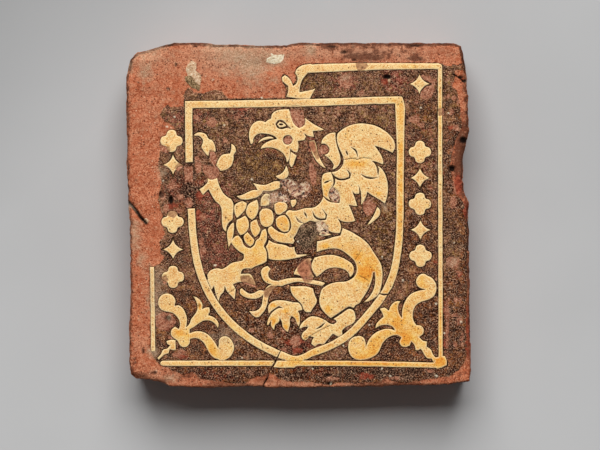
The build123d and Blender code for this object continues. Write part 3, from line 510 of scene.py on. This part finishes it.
def face_masks(points):
    """Every mask of the face at some points, by name."""
    masks = {
        "bare": np.minimum(field(points, BARE_FIELDS, 0.8), 1 - field(points, GLAZE_PATCHES, 0.8)),
        "flake": spots(points, BARE_SPOTS, 0.9),
        "red": spots(points, RED_SPOTS, 0.9),
        "lost": field(points, LOST_FILLS, 0.35),
        "broken": field(points, BROKEN_FIELDS, 0.6),
        "lime": np.maximum(field(points, LIME_FIELDS, 4.5), 0.8 * spots(points, LIME_SPOTS, 1.4)),
        "mortar": field(points, MORTAR_LUMPS, 0.35),
        "green": field(points, GREEN_FIELDS, 0.5),
        "white": field(points, WHITE_FIELDS, 0.3),
        "fleck": flecks(points),
        "olive": clouds(points, OLIVE_CLOUDS),
        "plum": clouds(points, PLUM_CLOUDS),
        "dark": clouds(points, DARK_CLOUDS),
        "stain": clouds(points, STAINS),
        "dull": clouds(points, DULL_CLOUDS),
        "dusty": clouds(points, DUSTY_CLOUDS),
    }
    # Painted shade in the pits and cracks, darker the deeper they go.
    pit = np.zeros(len(points))
    for *oval, depth in PITS:
        inner = ease(1.35 - from_oval(points, *oval), 0, 0.6)
        pit = np.maximum(pit, inner * min(1, 0.45 + depth / 1.4))
    for route, width, depth in CRACKS:
        inner = ease(width - distance_to(points, at(route))[0], 0, 0.6 * width)
        pit = np.maximum(pit, inner * min(1, 0.6 + depth / 2))
    masks["pit"] = pit
    return masks


def face_height(points, masks, rim_distance, edge_distance):
    """Height of the face over the points, in millimetres from the base."""
    height = 0.12 * hills(points, 17, 21) + 0.05 * hills(points, 6, 22)
    bare = ease(masks["bare"] + 0.18 * hills(points, 1.7, 23), 0.3, 0.7)
    height -= bare * (0.22 + 0.1 * hills(points, 3.4, 24) + 0.07 * hills(points, 1.3, 25))
    height -= (1 - bare) * (0.03 * hills(points, 1.6, 26) + 0.02 * hills(points, 0.8, 27))
    height -= masks["flake"] * (0.12 + 0.06 * hills(points, 1.2, 30))
    height -= np.maximum(masks["lost"], masks["broken"]) * (0.28 + 0.12 * hills(points, 1.5, 28))
    height += np.maximum(masks["mortar"], masks["green"]) * (0.4 + 0.2 * hills(points, 1.6, 29))
    height += masks["white"] * (0.12 + 0.06 * hills(points, 1.1, 35))
    height -= GROOVE_DEPTH * np.exp(-(edge_distance / GROOVE_WIDTH) ** 2)
    for *oval, depth in PITS:
        height -= depth * ease(1.15 - from_oval(points, *oval), 0, 0.7)
    for *oval, depth in HOLLOWS:
        rough = 1 + 0.25 * hills(points, 3.1, 31) + 0.15 * hills(points, 1.2, 32)
        height -= depth * ease(1 - from_oval(points, *oval), 0, 0.9) * rough
    for route, width, depth in CRACKS:
        distance, way = distance_to(points, at(route))
        ends = ease(np.minimum(way, 1 - way), -0.02, 0.12)
        height -= depth * np.clip(1 - distance / width, 0, 1) * ends
    worn = 1.1 + 0.5 * hills(points, 9, 33) + 0.35 * hills(points, 2.5, 34)
    worn *= 1 - 0.9 * ease(-points[:, 1], 50, 61)
    near = np.clip(1 - rim_distance / np.maximum(worn, 0.3), 0, 1)
    height -= 0.75 * worn * (1 - np.sqrt(1 - near ** 2))
    return FACE - 0.15 + height


# The triangles of the whole face, shared out among the body and the inlays.

outlines = {name: [shaky(flowing(loop)) for loop in flat_loops(name, FACE)] for name in INLAYS}
base_corners = flat_loops(BODY, 0)[0]
face_size = tile_high[:2] - tile_low[:2] - 2 * ARRIS_WIDTH
rim_corners = base_corners * (face_size / np.ptp(base_corners, 0))


def rim_line():
    """The rim of the face with its small breaks."""
    points = []
    for start, end in zip(rim_corners, np.roll(rim_corners, -1, 0)):
        pieces = max(1, round(np.hypot(*(end - start)) / RIM_SPACING))
        points += [start + (end - start) * piece / pieces for piece in range(pieces)]
    points = np.array(points)
    inward = -points / np.hypot(*points.T)[:, None]
    chips = 0.14 * hills(points, 2.1, 41) + 0.08 * hills(points, 0.9, 42) + 0.12 * hills(points, 5, 43)
    bites = ease(hills(points, 3.3, 44), 0.45, 0.9) * 0.35
    return points + inward * (0.1 + chips + bites)[:, None]


rim = rim_line()
if np.sum(rim[:, 0] * np.roll(rim[:, 1], -1) - rim[:, 1] * np.roll(rim[:, 0], -1)) < 0:
    rim = rim[::-1].copy()
edge_lines = Nearest([loop for loops in outlines.values() for loop in loops])
rim_cloud = Nearest([rim])


def jittered(loop, spacing, jitter, seed):
    """Grid points inside a closed loop, each moved a little by chance."""
    axes = [np.arange(-reach, reach, spacing) for reach in np.abs(loop).max(0)]
    points = np.stack(np.meshgrid(*axes), -1).reshape(-1, 2)
    points += np.random.RandomState(seed).uniform(-jitter, jitter, points.shape)
    return points[inside(points, [loop])]


def clear(points, from_outlines, from_rim):
    """Those points inside the rim that keep clear of the outlines and the rim, in millimetres."""
    points = points[inside(points, [rim])]
    return points[(edge_lines(points) > from_outlines) & (rim_cloud(points) > from_rim)]


def crack_points():
    """Points along the middle and both lips of every crack, so that its groove is sharp."""
    points = []
    for route, width, depth in CRACKS:
        line = at(route)
        for start, end in zip(line, line[1:]):
            length = np.hypot(*(end - start))
            across = np.array([start[1] - end[1], end[0] - start[0]]) / length
            for share in np.arange(0, 1, CRACK_SPACING / length):
                middle = start + share * (end - start)
                points += [middle, middle + across * width, middle - across * width]
    return np.array(points)


def lip_points():
    """A row of points on each side of every outline, which carries its thin groove."""
    points = []
    for loops in outlines.values():
        for loop in loops:
            along = np.roll(loop, -1, 0) - np.roll(loop, 1, 0)
            across = np.stack([along[:, 1], -along[:, 0]], 1) / np.hypot(*along.T)[:, None]
            points += [loop + LIP_OFFSET * across, loop - LIP_OFFSET * across]
    return np.concatenate(points)


def triangulated(loops, clouds_of_points, merging):
    """Points and triangles inside the first of some loops, with edges along all of them."""
    edges = []
    count = 0
    for loop in loops:
        edges += [(count + index, count + (index + 1) % len(loop)) for index in range(len(loop))]
        count += len(loop)
    points = [Vector(point) for point in np.concatenate(loops + clouds_of_points).tolist()]
    result = delaunay_2d_cdt(points, edges, [], 0, merging, False)
    points, triangles = np.array(result[0]), np.array(result[2])
    return points, triangles[inside(points[triangles].mean(1), loops[:1])]


def border(triangles):
    """The directed edges round some triangles."""
    edges = np.concatenate([triangles[:, [0, 1]], triangles[:, [1, 2]], triangles[:, [2, 0]]])
    both = {}
    for start, end in edges.tolist():
        if (end, start) in both:
            del both[end, start]
        else:
            both[start, end] = True
    return np.array(list(both))


face_points, face_triangles = triangulated(
    [rim] + [loop for name in INLAYS for loop in outlines[name]],
    [clear(jittered(rim, GRID, 0.2 * GRID, 51), 0.3, 0.3), clear(crack_points(), 0.1, 0.15),
     clear(lip_points(), 0.22, 0.2)],
    1e-4,
)
centres = face_points[face_triangles].mean(1)
owner = np.full(len(face_triangles), -1)
for number, name in enumerate(INLAYS):
    owner[(owner < 0) & inside(centres, outlines[name])] = number
rim_distance = rim_cloud(face_points)
clay_edges = border(face_triangles[owner < 0])
clay_edges = clay_edges[(clay_edges >= len(rim)).any(1)]
edge_distance = Nearest(list(face_points[clay_edges]))(face_points)
masks = face_masks(face_points)
masks["edge"] = np.minimum(edge_distance, EDGE_REACH)
# The rim distance is stretched along the bottom edge, so the rim darkens less there: painted light.
masks["rim"] = np.minimum(rim_distance + 1.3 * ease(-face_points[:, 1], 50, 60), RIM_REACH)
top_arris = ease(face_points[:, 1], 50, 58) * ease(0.8 - rim_distance, 0, 0.5)
masks["dark"] = np.maximum(masks["dark"], 1.3 * top_arris)
face_z = face_height(face_points, masks, rim_distance, edge_distance)


def add_object(name, data):
    """A new object in the scene that holds the data."""
    new = bpy.data.objects.new(name, data)
    bpy.context.scene.collection.objects.link(new)
    return new


def make_piece(name, points, triangles, values, material, nodes):
    """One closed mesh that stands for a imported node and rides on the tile."""
    used, index = np.unique(triangles, return_inverse=True)
    mesh = bpy.data.meshes.new(name)
    mesh.from_pydata((points[used] / METRE).tolist(), [], index.reshape(-1, 3).tolist())
    mesh.shade_smooth()
    for key, value in values.items():
        attribute = mesh.attributes.new(key, "FLOAT", "POINT")
        attribute.data.foreach_set("value", value[used].astype(np.float32))
    mesh.materials.append(material)
    mesh.update()
    piece = add_object(name, mesh)
    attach(piece, "root")
    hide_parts(*nodes)
    return piece


# Every point of the face, and below each of them one on the recess floor.
count = len(face_points)
two_levels = [
    np.column_stack([face_points, face_z]),
    np.column_stack([face_points, np.full(count, RECESS_FLOOR)]),
]


def quads(first, second, third, fourth):
    """Two triangles for each row of four corners, given in order round it."""
    return [np.column_stack([first, second, third]), np.column_stack([first, third, fourth])]


def make_inlay(number, name, material):
    """A fill: its dense top, a flat seat on the recess floor and the walls between them."""
    top = face_triangles[owner == number]
    start, end = border(top).T
    walls = quads(end, start, start + count, end + count)
    triangles = np.concatenate([top, top[:, ::-1] + count] + walls)
    points = np.concatenate(two_levels)
    values = {key: np.tile(value, 2) for key, value in masks.items()}
    return make_piece("fill_" + name, points, triangles, values, material, [name])


# The sides of the body.

# Rows from the rim down: how far each lies outside the rim and below the face, in millimetres.
SIDE_ROWS = (
    (0.3, 0.5), (0.5, 1.3), (0.5, 2.6), (0.45, 4.2), (0.4, 6), (0.3, 8), (0.2, 10.2), (0.1, 12.4),
    (-0.1, 14.6), (-0.2, 16.8), (-0.4, 18.8), (-0.6, 20.8), (-0.8, 22.4), (-0.95, 23.8), (-1.1, 24.6),
)
# How fast the masks of the face fade down the sides, and how much the base draws in.
FADE_DEPTH = 1.8
BASE_INSET = 0.004


def side_rows():
    """Points of the sides, row by row, with the drag marks and breaks of hand-trimmed clay."""
    along = np.roll(rim, -1, 0) - np.roll(rim, 1, 0)
    wide = 9
    kernel = np.ones(2 * wide + 1) / (2 * wide + 1)
    smooth = [np.convolve(np.concatenate([a[-wide:], a, a[:wide]]), kernel, "valid") for a in along.T]
    outward = np.stack([smooth[1], -smooth[0]], 1)
    outward /= np.hypot(*outward.T)[:, None]
    way = np.concatenate([[0], np.cumsum(np.hypot(*np.diff(rim, axis=0).T))])
    total = way[-1] + np.hypot(*(rim[0] - rim[-1]))
    turn = way / total * 2 * np.pi
    ring = np.stack([np.cos(turn), np.sin(turn)], 1) * total / (2 * np.pi)
    start_z = face_z[:len(rim)]
    rows = []
    for out, down in SIDE_ROWS:
        here = ring + (down * 3.1, down * 1.7)
        drag = ring * (0.3, 0.3) + (down * 2.0, down * 2.0)
        rough = 0.16 * hills(here, 2.2, 61) + 0.28 * hills(here, 7, 62) + 0.06 * hills(here, 0.9, 63)
        rough += 0.08 * hills(drag, 1.4, 64)
        bite = 0.8 * ease(hills(here, 5, 65), 0.5, 0.95)
        fade = min(1, down / 2)
        flat = 1 - max(0, (down - 23) / 2)
        offset = out + (rough - bite) * fade * (0.4 + 0.6 * flat)
        drop = (FACE - start_z) * max(0, 1 - down / 9)
        height = FACE - down - drop * (1 - down / FACE)
        rows.append(np.column_stack([rim + outward * offset[:, None], np.maximum(height, 0.15)]))
    return rows


def recess_floors():
    """The recess floors, as triangles that reach from wall to wall."""
    used, ends = np.unique(border(face_triangles[owner >= 0]), return_inverse=True)
    corners = [Vector(point) for point in face_points[used].tolist()]
    result = delaunay_2d_cdt(corners, ends.reshape(-1, 2).tolist(), [], 0, 1e-6, True)
    triangles = np.array(result[2])
    centres = np.array(result[0])[triangles].mean(1)
    within = np.any([inside(centres, outlines[name]) for name in INLAYS], 0)
    places = used[[sources[0] for sources in result[3]]]
    return places[triangles[within]]


def base_points(loop):
    """The base as points and triangles, gently uneven, with its lowest places on z = 0."""
    grid = jittered(loop, BASE_GRID, 0.4, 71)
    grid = grid[Nearest([loop])(grid) > 0.8]
    points, triangles = triangulated([loop], [grid], 1e-5)
    rough = 0.16 + 0.16 * hills(points, 3.2, 72) + 0.12 * hills(points, 11, 73)
    return np.column_stack([points, np.maximum(rough, 0)]), triangles


def make_body(material):
    """The clay body: face, recesses under the fills, sides and base, as one closed mesh."""
    rows = side_rows()
    ring = len(rim)
    top = face_triangles[owner < 0]
    base_loop = rows[-1][:, :2] - BASE_INSET * rows[-1][:, :2]
    base, base_triangles = base_points(base_loop)
    points = np.concatenate(two_levels + rows + [base])
    edges = border(top)
    on_rim = (edges < ring).all(1) & ((edges[:, 1] - edges[:, 0]) % ring == 1)
    start, end = edges[~on_rim].T
    triangles = [top, recess_floors() + count] + quads(end, start, start + count, end + count)
    upper = np.arange(ring)
    for number in range(len(rows) + 1):
        lower = 2 * count + number * ring + np.arange(ring)
        triangles += quads(upper, lower, np.roll(lower, -1), np.roll(upper, -1))
        upper = lower
    triangles.append(base_triangles[:, ::-1] + upper[0])
    values = {}
    for key, value in masks.items():
        sides = [value[:ring] * math.exp(-down / FADE_DEPTH) for out, down in SIDE_ROWS]
        values[key] = np.concatenate([value, value] + sides + [np.zeros(len(base))])
    hidden = ring * len(rows) + len(base)
    values["rim"] = np.concatenate([masks["rim"]] * 2 + [np.zeros(hidden)])
    values["edge"] = np.concatenate([masks["edge"]] * 2 + [np.full(hidden, EDGE_REACH)])
    return make_piece("clay_body", points, np.concatenate(triangles), values, material, [BODY])


# Materials. A colour is given as it shows on a screen, red, green and blue from 0 to 255.


def shade(colour):
    """A screen colour turned into light."""
    levels = [value / 255 for value in colour]
    return [level / 12.92 if level < 0.04 else ((level + 0.055) / 1.055) ** 2.4 for level in levels] + [1]


class Signal:
    """What a node puts out, with the sums that nodes can do on it."""

    def __init__(self, surface, node, output):
        self.surface = surface
        self.socket = node.outputs[output]

    def __add__(self, other):
        return self.surface.maths("ADD", self, other)

    def __sub__(self, other):
        return self.surface.maths("SUBTRACT", self, other)

    def __rsub__(self, other):
        return self.surface.maths("SUBTRACT", other, self)

    def __mul__(self, other):
        return self.surface.maths("MULTIPLY", self, other)

    def rise(self, low, high, bottom=0, top=1):
        """Even rise between two levels."""
        inputs = {"Value": self, "From Min": low, "From Max": high, "To Min": bottom, "To Max": top}
        return self.surface.add("MapRange", inputs, "Result")


class Surface:
    """Builds the node tree of one material out of noise, masks and mixes."""

    def __init__(self, name):
        self.material = bpy.data.materials.new(name)
        self.material.use_nodes = True
        self.nodes = self.material.node_tree.nodes
        self.places = self.add("TexCoord", {}, "Object")

    def put(self, socket, value):
        """Sets a socket to a number, a place or a colour, or links a signal to it."""
        if isinstance(value, Signal):
            self.material.node_tree.links.new(value.socket, socket)
        elif socket.type == "RGBA":
            socket.default_value = shade(value)
        else:
            socket.default_value = value

    def add(self, kind, inputs, output=0, **settings):
        """The output of a new node, given its settings and inputs."""
        node = self.nodes.new("ShaderNode" + kind)
        for name, value in settings.items():
            setattr(node, name, value)
        for name, value in inputs.items():
            self.put(node.inputs[name], value)
        return Signal(self, node, output)

    def noise(self, size, detail, roughness, shift=0):
        """Noise of a size in millimetres, at another place where it is shifted."""
        places = self.places
        if shift:
            places = self.add("Mapping", {"Vector": places, "Location": (shift, shift, shift)})
        inputs = {"Vector": places, "Scale": METRE / size, "Detail": detail, "Roughness": roughness}
        return self.add("TexNoise", inputs, "Fac")

    def grains(self, size):
        """Distance to the nearest grain and a number that each grain has by chance."""
        distance = self.add("TexVoronoi", {"Vector": self.places, "Scale": METRE / size}, "Distance")
        colour = Signal(self, distance.socket.node, "Color")
        return distance, self.add("SeparateColor", {"Color": colour}, "Red")

    def mask(self, name):
        return self.add("Attribute", {}, "Fac", attribute_name=name)

    def along(self, axis):
        """How far along an axis, in metres."""
        return self.add("SeparateXYZ", {"Vector": self.places}, axis)

    def maths(self, operation, first, second):
        return self.add("Math", {0: first, 1: second}, operation=operation)

    def torn(self, name, noise, strength, sharpness):
        """A mask whose border is broken up by a noise."""
        moved = self.mask(name) + (noise - 0.5) * strength
        return moved.rise(0.5 - sharpness, 0.5 + sharpness)

    def mix(self, factor, first, second, blend="MIX"):
        return self.add("Mix", {0: factor, 6: first, 7: second}, 2, data_type="RGBA", blend_type=blend)

    def peppered(self, base, noise, dark, light, amount):
        """A colour darkened where a noise runs low and lightened where it runs high."""
        base = self.mix(noise.rise(0.5, 0.24) * amount, base, dark, "MULTIPLY")
        return self.mix(noise.rise(0.5, 0.78) * amount, base, light)

    def dotted(self, base, grains, reach, chance, amount, colour):
        """A colour with dots of another on the grains that chance picks."""
        distance, pick = grains
        return self.mix(distance.rise(*reach) * pick.rise(*chance) * amount, base, colour)

    def ramp(self, value, *stops):
        """A colour ramp through stops, each a place and a colour."""
        colour = self.add("ValToRGB", {"Fac": value})
        elements = colour.socket.node.color_ramp.elements
        while len(elements) < len(stops):
            elements.new(0.5)
        for element, (place, *level) in zip(elements, stops):
            element.position = place
            element.color = shade(level)
        return colour

    def finish(self, colour, roughness, relief, depth, specular):
        """Depth is the height of the bumps in millimetres."""
        bump = self.add("Bump", {"Strength": 1, "Distance": depth / METRE, "Height": relief}, "Normal")
        shader = self.nodes["Principled BSDF"].inputs
        self.put(shader["Base Color"], colour)
        self.put(shader["Roughness"], roughness)
        self.put(shader["Normal"], bump)
        shader["Specular IOR Level"].default_value = specular
        return self.material


def clay_colour(surface):
    """Bare red clay: warm blotches, a pale dusty film, dark pinholes and pale grains."""
    base = surface.ramp(
        surface.noise(5, 5, 0.65), (0.3, 164, 80, 48), (0.5, 189, 102, 67), (0.7, 210, 126, 90),
    )
    dust = surface.noise(2.3, 4, 0.7)
    base = surface.mix(dust.rise(0.5, 0.72, 0, 0.5), base, (212, 144, 106))
    base = surface.mix(dust.rise(0.46, 0.28, 0, 0.5), base, (150, 72, 46))
    pale = (dust - 0.5) * 1.6 + surface.mask("dusty")
    base = surface.mix(pale.rise(0.1, 1.2, 0, 0.85), base, (196, 150, 120))
    calm = surface.noise(4, 3, 0.6, 0.2).rise(0.38, 0.62)
    fresh = calm.rise(0, 1, 0.35, 0.75)
    base = surface.peppered(base, surface.noise(0.95, 3, 0.7), (186, 140, 96), (236, 176, 144), fresh)
    fresh = calm.rise(0, 1, 0.45, 1)
    base = surface.peppered(base, surface.noise(0.42, 1, 0.6), (150, 96, 46), (240, 168, 126), fresh)
    distance, pick = surface.grains(1)
    grains = distance, surface.mask("dusty") * 0.12 + pick
    base = surface.dotted(base, grains, (0.36, 0.2), (0.84, 0.9), 0.85, (74, 34, 22))
    base = surface.dotted(base, grains, (0.28, 0.16), (0.1, 0.07), 0.8, (238, 198, 164))
    grime = (dust - 0.5) * -2.6 + surface.mask("dark") + (surface.noise(1, 3, 0.7) - 0.5) * 1.2
    return surface.mix(grime.rise(0.4, 0.9, 0, 0.8), base, (88, 52, 38)), dust


def glaze_colour(surface):
    """Worn brown lead glaze: dark ground under olive, tan and plum specks."""
    speck = surface.noise(0.95, 3, 0.75)
    dark = surface.mask("dark")
    level = speck + (surface.noise(3.2, 4, 0.65) - 0.5) * 0.95 - dark * 0.19
    base = surface.ramp(
        level, (0.3, 40, 18, 9), (0.43, 76, 42, 25), (0.53, 112, 70, 43), (0.63, 152, 106, 75),
        (0.76, 198, 154, 120),
    )
    worn = surface.ramp(level, (0.3, 40, 30, 20), (0.5, 92, 78, 58), (0.72, 176, 154, 122))
    tone = surface.noise(1.7, 3, 0.7, 0.3)
    olive = surface.mask("olive") * 0.25 + (tone - 0.04)
    base = surface.mix(olive.rise(0.5, 0.6), base, (236, 246, 184), "MULTIPLY")
    plum = surface.mask("plum") * 0.4 + (0.94 - tone)
    base = surface.mix(plum.rise(0.5, 0.62), base, (255, 196, 214), "MULTIPLY")
    base = surface.mix(dark.rise(0, 0.25), base, (255, 222, 166), "MULTIPLY")
    rust = surface.noise(2.6, 4, 0.7, 0.6).rise(0.6, 0.7, 0, 0.6)
    base = surface.mix(rust, base, (118, 56, 38))
    base = surface.mix(surface.mask("dull").rise(0.45, 0.9, 0, 0.85), base, worn)
    fresh = surface.noise(4, 3, 0.6, 0.2).rise(0.38, 0.62).rise(0, 1, 0.8, 1.2)
    base = surface.peppered(base, surface.noise(0.42, 1, 0.6), (134, 84, 22), (202, 158, 128), fresh)
    grains = surface.grains(0.95)
    base = surface.dotted(base, grains, (0.34, 0.2), (0.88, 0.91), 0.75, (222, 176, 134))
    return surface.dotted(base, grains, (0.4, 0.24), (0.14, 0.1), 0.85, (30, 14, 8)), speck


def patchwork(surface):
    """Broken places: small chips of grey lime, red clay and dark glaze."""
    distance, pick = surface.grains(0.9)
    return surface.ramp(
        pick * 0.45 + (surface.noise(1.6, 4, 0.8) - 0.225), (0.3, 50, 24, 14), (0.4, 128, 74, 52),
        (0.5, 186, 126, 96), (0.6, 204, 166, 130), (0.74, 238, 212, 176),
    )


def body_material():
    """Clay and glaze, then what lies on them or has broken out of them, from the lowest up."""
    surface = Surface("worn_red_clay")
    clay, dust = clay_colour(surface)
    glaze, speck = glaze_colour(surface)
    rags = surface.noise(1.5, 5, 0.7)
    fine = surface.noise(0.42, 1, 0.6)
    grit = surface.noise(0.9, 3, 0.7)
    side = (FACE - surface.along("Z") * METRE).rise(1.6, 3)
    bare = surface.maths("MAXIMUM", surface.torn("bare", rags, 1.3, 0.1), side)
    colour = surface.mix(bare, glaze, clay)
    rust = surface.ramp(grit, (0.32, 88, 26, 16), (0.5, 150, 62, 42), (0.7, 192, 102, 74))
    colour = surface.mix(surface.torn("red", rags, 2.3, 0.14) * 0.8, colour, rust)
    pink = surface.ramp(
        grit, (0.3, 92, 46, 32), (0.44, 154, 92, 68), (0.58, 188, 124, 94), (0.72, 224, 176, 146),
    )
    pink = surface.peppered(pink, fine, (170, 126, 86), (232, 184, 152), 0.7)
    flake = surface.torn("flake", rags, 2.1, 0.1) * (0.92 - bare * 0.92)
    colour = surface.mix(flake, colour, pink)
    uneven = surface.noise(3.4, 3, 0.6, 0.7)
    line = (rags - 0.5) * 0.55 + surface.mask("edge") + (0.5 - uneven) * 1.3
    colour = surface.mix(line.rise(0.4, 0.2) * (0.93 - bare * 0.4), colour, (28, 13, 7))
    lost = surface.torn("lost", rags, 0.7, 0.15) * surface.mask("dark").rise(0.9, 0.5)
    colour = surface.mix(lost, colour, pink)
    patches = surface.peppered(patchwork(surface), fine, (170, 130, 90), (250, 226, 206), 0.7)
    colour = surface.mix(surface.torn("broken", rags, 1.2, 0.15), colour, patches)
    lime = (surface.noise(2.4, 6, 0.78) - 0.5) * 2.6 + surface.mask("lime")
    film = surface.peppered((186, 152, 120), fine, (180, 150, 120), (232, 208, 184), 0.7)
    colour = surface.mix(lime.rise(0.15, 1, 0, 0.8), colour, film)
    lumps = surface.ramp(
        surface.noise(1.1, 4, 0.7),
        (0.32, 124, 92, 62), (0.42, 196, 154, 118), (0.56, 220, 182, 144), (0.7, 246, 230, 200),
    )
    lumps = surface.peppered(lumps, fine, (180, 150, 120), (250, 232, 205), 0.6)
    colour = surface.mix(surface.torn("mortar", rags, 0.9, 0.12), colour, lumps)
    moss = surface.ramp(
        surface.noise(0.8, 3, 0.8),
        (0.32, 40, 28, 18), (0.45, 106, 82, 54), (0.58, 168, 136, 98), (0.7, 222, 196, 156),
    )
    colour = surface.mix(surface.torn("green", rags, 1.2, 0.12), colour, moss)
    wash = surface.ramp(
        surface.noise(0.7, 3, 0.7), (0.3, 150, 116, 84), (0.42, 214, 192, 156), (0.6, 242, 228, 200),
    )
    colour = surface.mix(surface.torn("white", rags, 1.1, 0.12), colour, wash)
    # Darker along the rim, less so on the bottom edge: painted light for the arris the lamp leaves in
    # shade.
    rim_darkening = surface.mask("rim").rise(1.9, 0, 0, 0.42) + (surface.noise(1.7, 4, 0.75) - 0.5)
    colour = surface.mix(rim_darkening.rise(0.3, 0.5) * (1 - side) * 0.8, colour, (58, 31, 22))
    # Painted shade: pits and cracks blackened as their depth would shade them.
    colour = surface.mix(surface.mask("pit"), colour, (26, 17, 13))
    colour = surface.mix(surface.mask("fleck"), colour, (244, 228, 198))
    film = surface.noise(9, 5, 0.7).rise(0.52, 0.66) * side * 0.6
    colour = surface.mix(film, colour, (190, 172, 148))
    rough = bare * 0.25 + speck.rise(0.3, 0.7, 0.46, 0.64)
    return surface.finish(colour, rough, dust * 0.9 + speck * 0.5 + fine * 0.4, 0.32, 0.045)


def fill_material():
    """White clay under thin glaze, cream with golden stains, and worn through in places."""
    surface = Surface("cream_white_clay")
    base = surface.ramp(
        surface.noise(5, 4, 0.6), (0.3, 243, 181, 110), (0.5, 253, 201, 132), (0.7, 255, 218, 153),
    )
    grit = surface.noise(0.9, 3, 0.7)
    fine = surface.noise(0.42, 1, 0.6)
    blotch = surface.noise(2.2, 5, 0.7) - 0.5
    dull = blotch * -1.3 + surface.mask("dull")
    base = surface.mix(dull.rise(0.2, 0.95, 0, 0.75), base, (200, 166, 130))
    base = surface.peppered(base, grit, (212, 190, 146), (255, 238, 178), 0.65)
    base = surface.peppered(base, fine, (202, 178, 132), (255, 242, 184), 1)
    orange = surface.mix(1, base, (248, 200, 114), "MULTIPLY")
    stain = blotch * 2 + surface.mask("stain")
    base = surface.mix(stain.rise(0.05, 0.8), base, (255, 236, 172), "MULTIPLY")
    base = surface.mix(stain.rise(0.6, 1.35), base, orange)
    base = surface.dotted(base, surface.grains(1.05), (0.34, 0.18), (0.78, 0.82), 0.9, (112, 66, 32))
    rags = surface.noise(1.5, 5, 0.7)
    brown = surface.ramp(grit, (0.3, 116, 78, 50), (0.48, 172, 124, 84), (0.7, 214, 166, 118))
    brown = surface.mix(surface.mask("plum").rise(0.4, 0.9), brown, (255, 222, 232), "MULTIPLY")
    dirt = surface.mix(surface.noise(1, 3, 0.7).rise(0.35, 0.65), (52, 28, 20), (116, 70, 54))
    brown = surface.mix(surface.mask("dark").rise(0.5, 0.9), brown, dirt)
    lost = surface.torn("lost", rags, 0.9, 0.15)
    base = surface.mix(lost, base, brown)
    base = surface.mix(surface.torn("broken", rags, 1.4, 0.15), base, patchwork(surface))
    edge = surface.mask("edge")
    pale = edge.rise(0.62, 0.3) * edge.rise(0.02, 0.16) * (0.55 - lost * 0.5)
    base = surface.mix(pale, base, (255, 232, 184))
    base = surface.mix(edge.rise(0.07, 0, 0, 0.7), base, (70, 38, 18))
    # Painted shade: pits and cracks darkened as their depth would shade them.
    base = surface.mix(surface.mask("pit"), base, (48, 28, 18))
    return surface.finish(base, grit.rise(0.3, 0.7, 0.48, 0.66), fine * 0.5 + grit, 0.16, 0.14)


def floor_material():
    """Pale grey paper with painted light and shade: darker to the top left, lighter below, cooler above
    the tile.
    """
    surface = Surface("pale_grey_floor")
    colour = surface.ramp(surface.noise(60, 2, 0.5), (0.3, 186, 186, 186), (0.7, 190, 190, 190))
    # Painted shade: the paper darkens towards the top left.
    across = surface.along("Y") - surface.along("X")
    colour = surface.mix(across.rise(0.11, 0.2, 0, 0.28), colour, (0, 0, 0))
    # Painted light: the paper grows lighter towards the bottom.
    colour = surface.mix(surface.along("Y").rise(0.01, -0.09, 0, 0.11), colour, (255, 255, 255))
    # Cool painted shade just above the tile, cancelling the reddish light the tile bounces onto the
    # floor.
    top_edge = {0: surface.places, 1: (0, tile_high[1] / METRE, 0)}
    away = surface.add("VectorMath", top_edge, "Value", operation="DISTANCE")
    colour = surface.mix(away.rise(0.085, 0.015, 0, 0.11), colour, (84, 140, 150))
    return surface.finish(colour, 0.9, surface.noise(3, 2, 0.5), 0.01, 0.1)


cream = fill_material()
make_body(body_material())
for number, name in enumerate(INLAYS):
    make_inlay(number, name, cream)


# Floor, light and camera.

FLOOR_SIZE = 6.0
CAMERA_DISTANCE = 1.5
LIGHT_DISTANCE = 2.4
LIGHT_SIZE = 1.95
LIGHT_ELEVATION = math.radians(49)
LIGHT_SHIFT = -0.07
LIGHT_POWER = 79.0
ROOM_LIGHT = 0.08


def make_floor():
    half = FLOOR_SIZE / 2
    mesh = bpy.data.meshes.new("floor")
    corners = [(-half, -half, 0), (half, -half, 0), (half, half, 0), (-half, half, 0)]
    mesh.from_pydata(corners, [], [(0, 1, 2, 3)])
    mesh.materials.append(floor_material())
    add_object("floor", mesh)


def make_light():
    """A soft box beyond the top of the design, with a dim even room light."""
    lamp = bpy.data.lights.new("soft_box", "AREA")
    lamp.shape = "SQUARE"
    lamp.size = LIGHT_SIZE
    lamp.energy = LIGHT_POWER
    box = add_object("soft_box", lamp)
    far, high = LIGHT_DISTANCE * math.cos(LIGHT_ELEVATION), LIGHT_DISTANCE * math.sin(LIGHT_ELEVATION)
    box.location = (LIGHT_SHIFT, far, high)
    box.rotation_euler = Vector(box.location).to_track_quat("Z", "Y").to_euler()
    world = bpy.data.worlds.new("room")
    world.use_nodes = True
    background = world.node_tree.nodes["Background"]
    background.inputs["Color"].default_value = (1, 1, 1, 1)
    background.inputs["Strength"].default_value = ROOM_LIGHT
    bpy.context.scene.world = world


def make_camera():
    """Looks straight down, framed as the picture is."""
    data = bpy.data.cameras.new("camera")
    data.lens = data.sensor_width * CAMERA_DISTANCE / (PICTURE_WIDTH * STEP / METRE)
    data.clip_end = 20
    camera = add_object("camera", data)
    x, y = at(PICTURE_CENTRE)[0] / METRE
    camera.location = (x, y, FACE / METRE + CAMERA_DISTANCE)
    bpy.context.scene.camera = camera


make_floor()
make_light()
make_camera()
bpy.context.scene.view_settings.view_transform = "Standard"
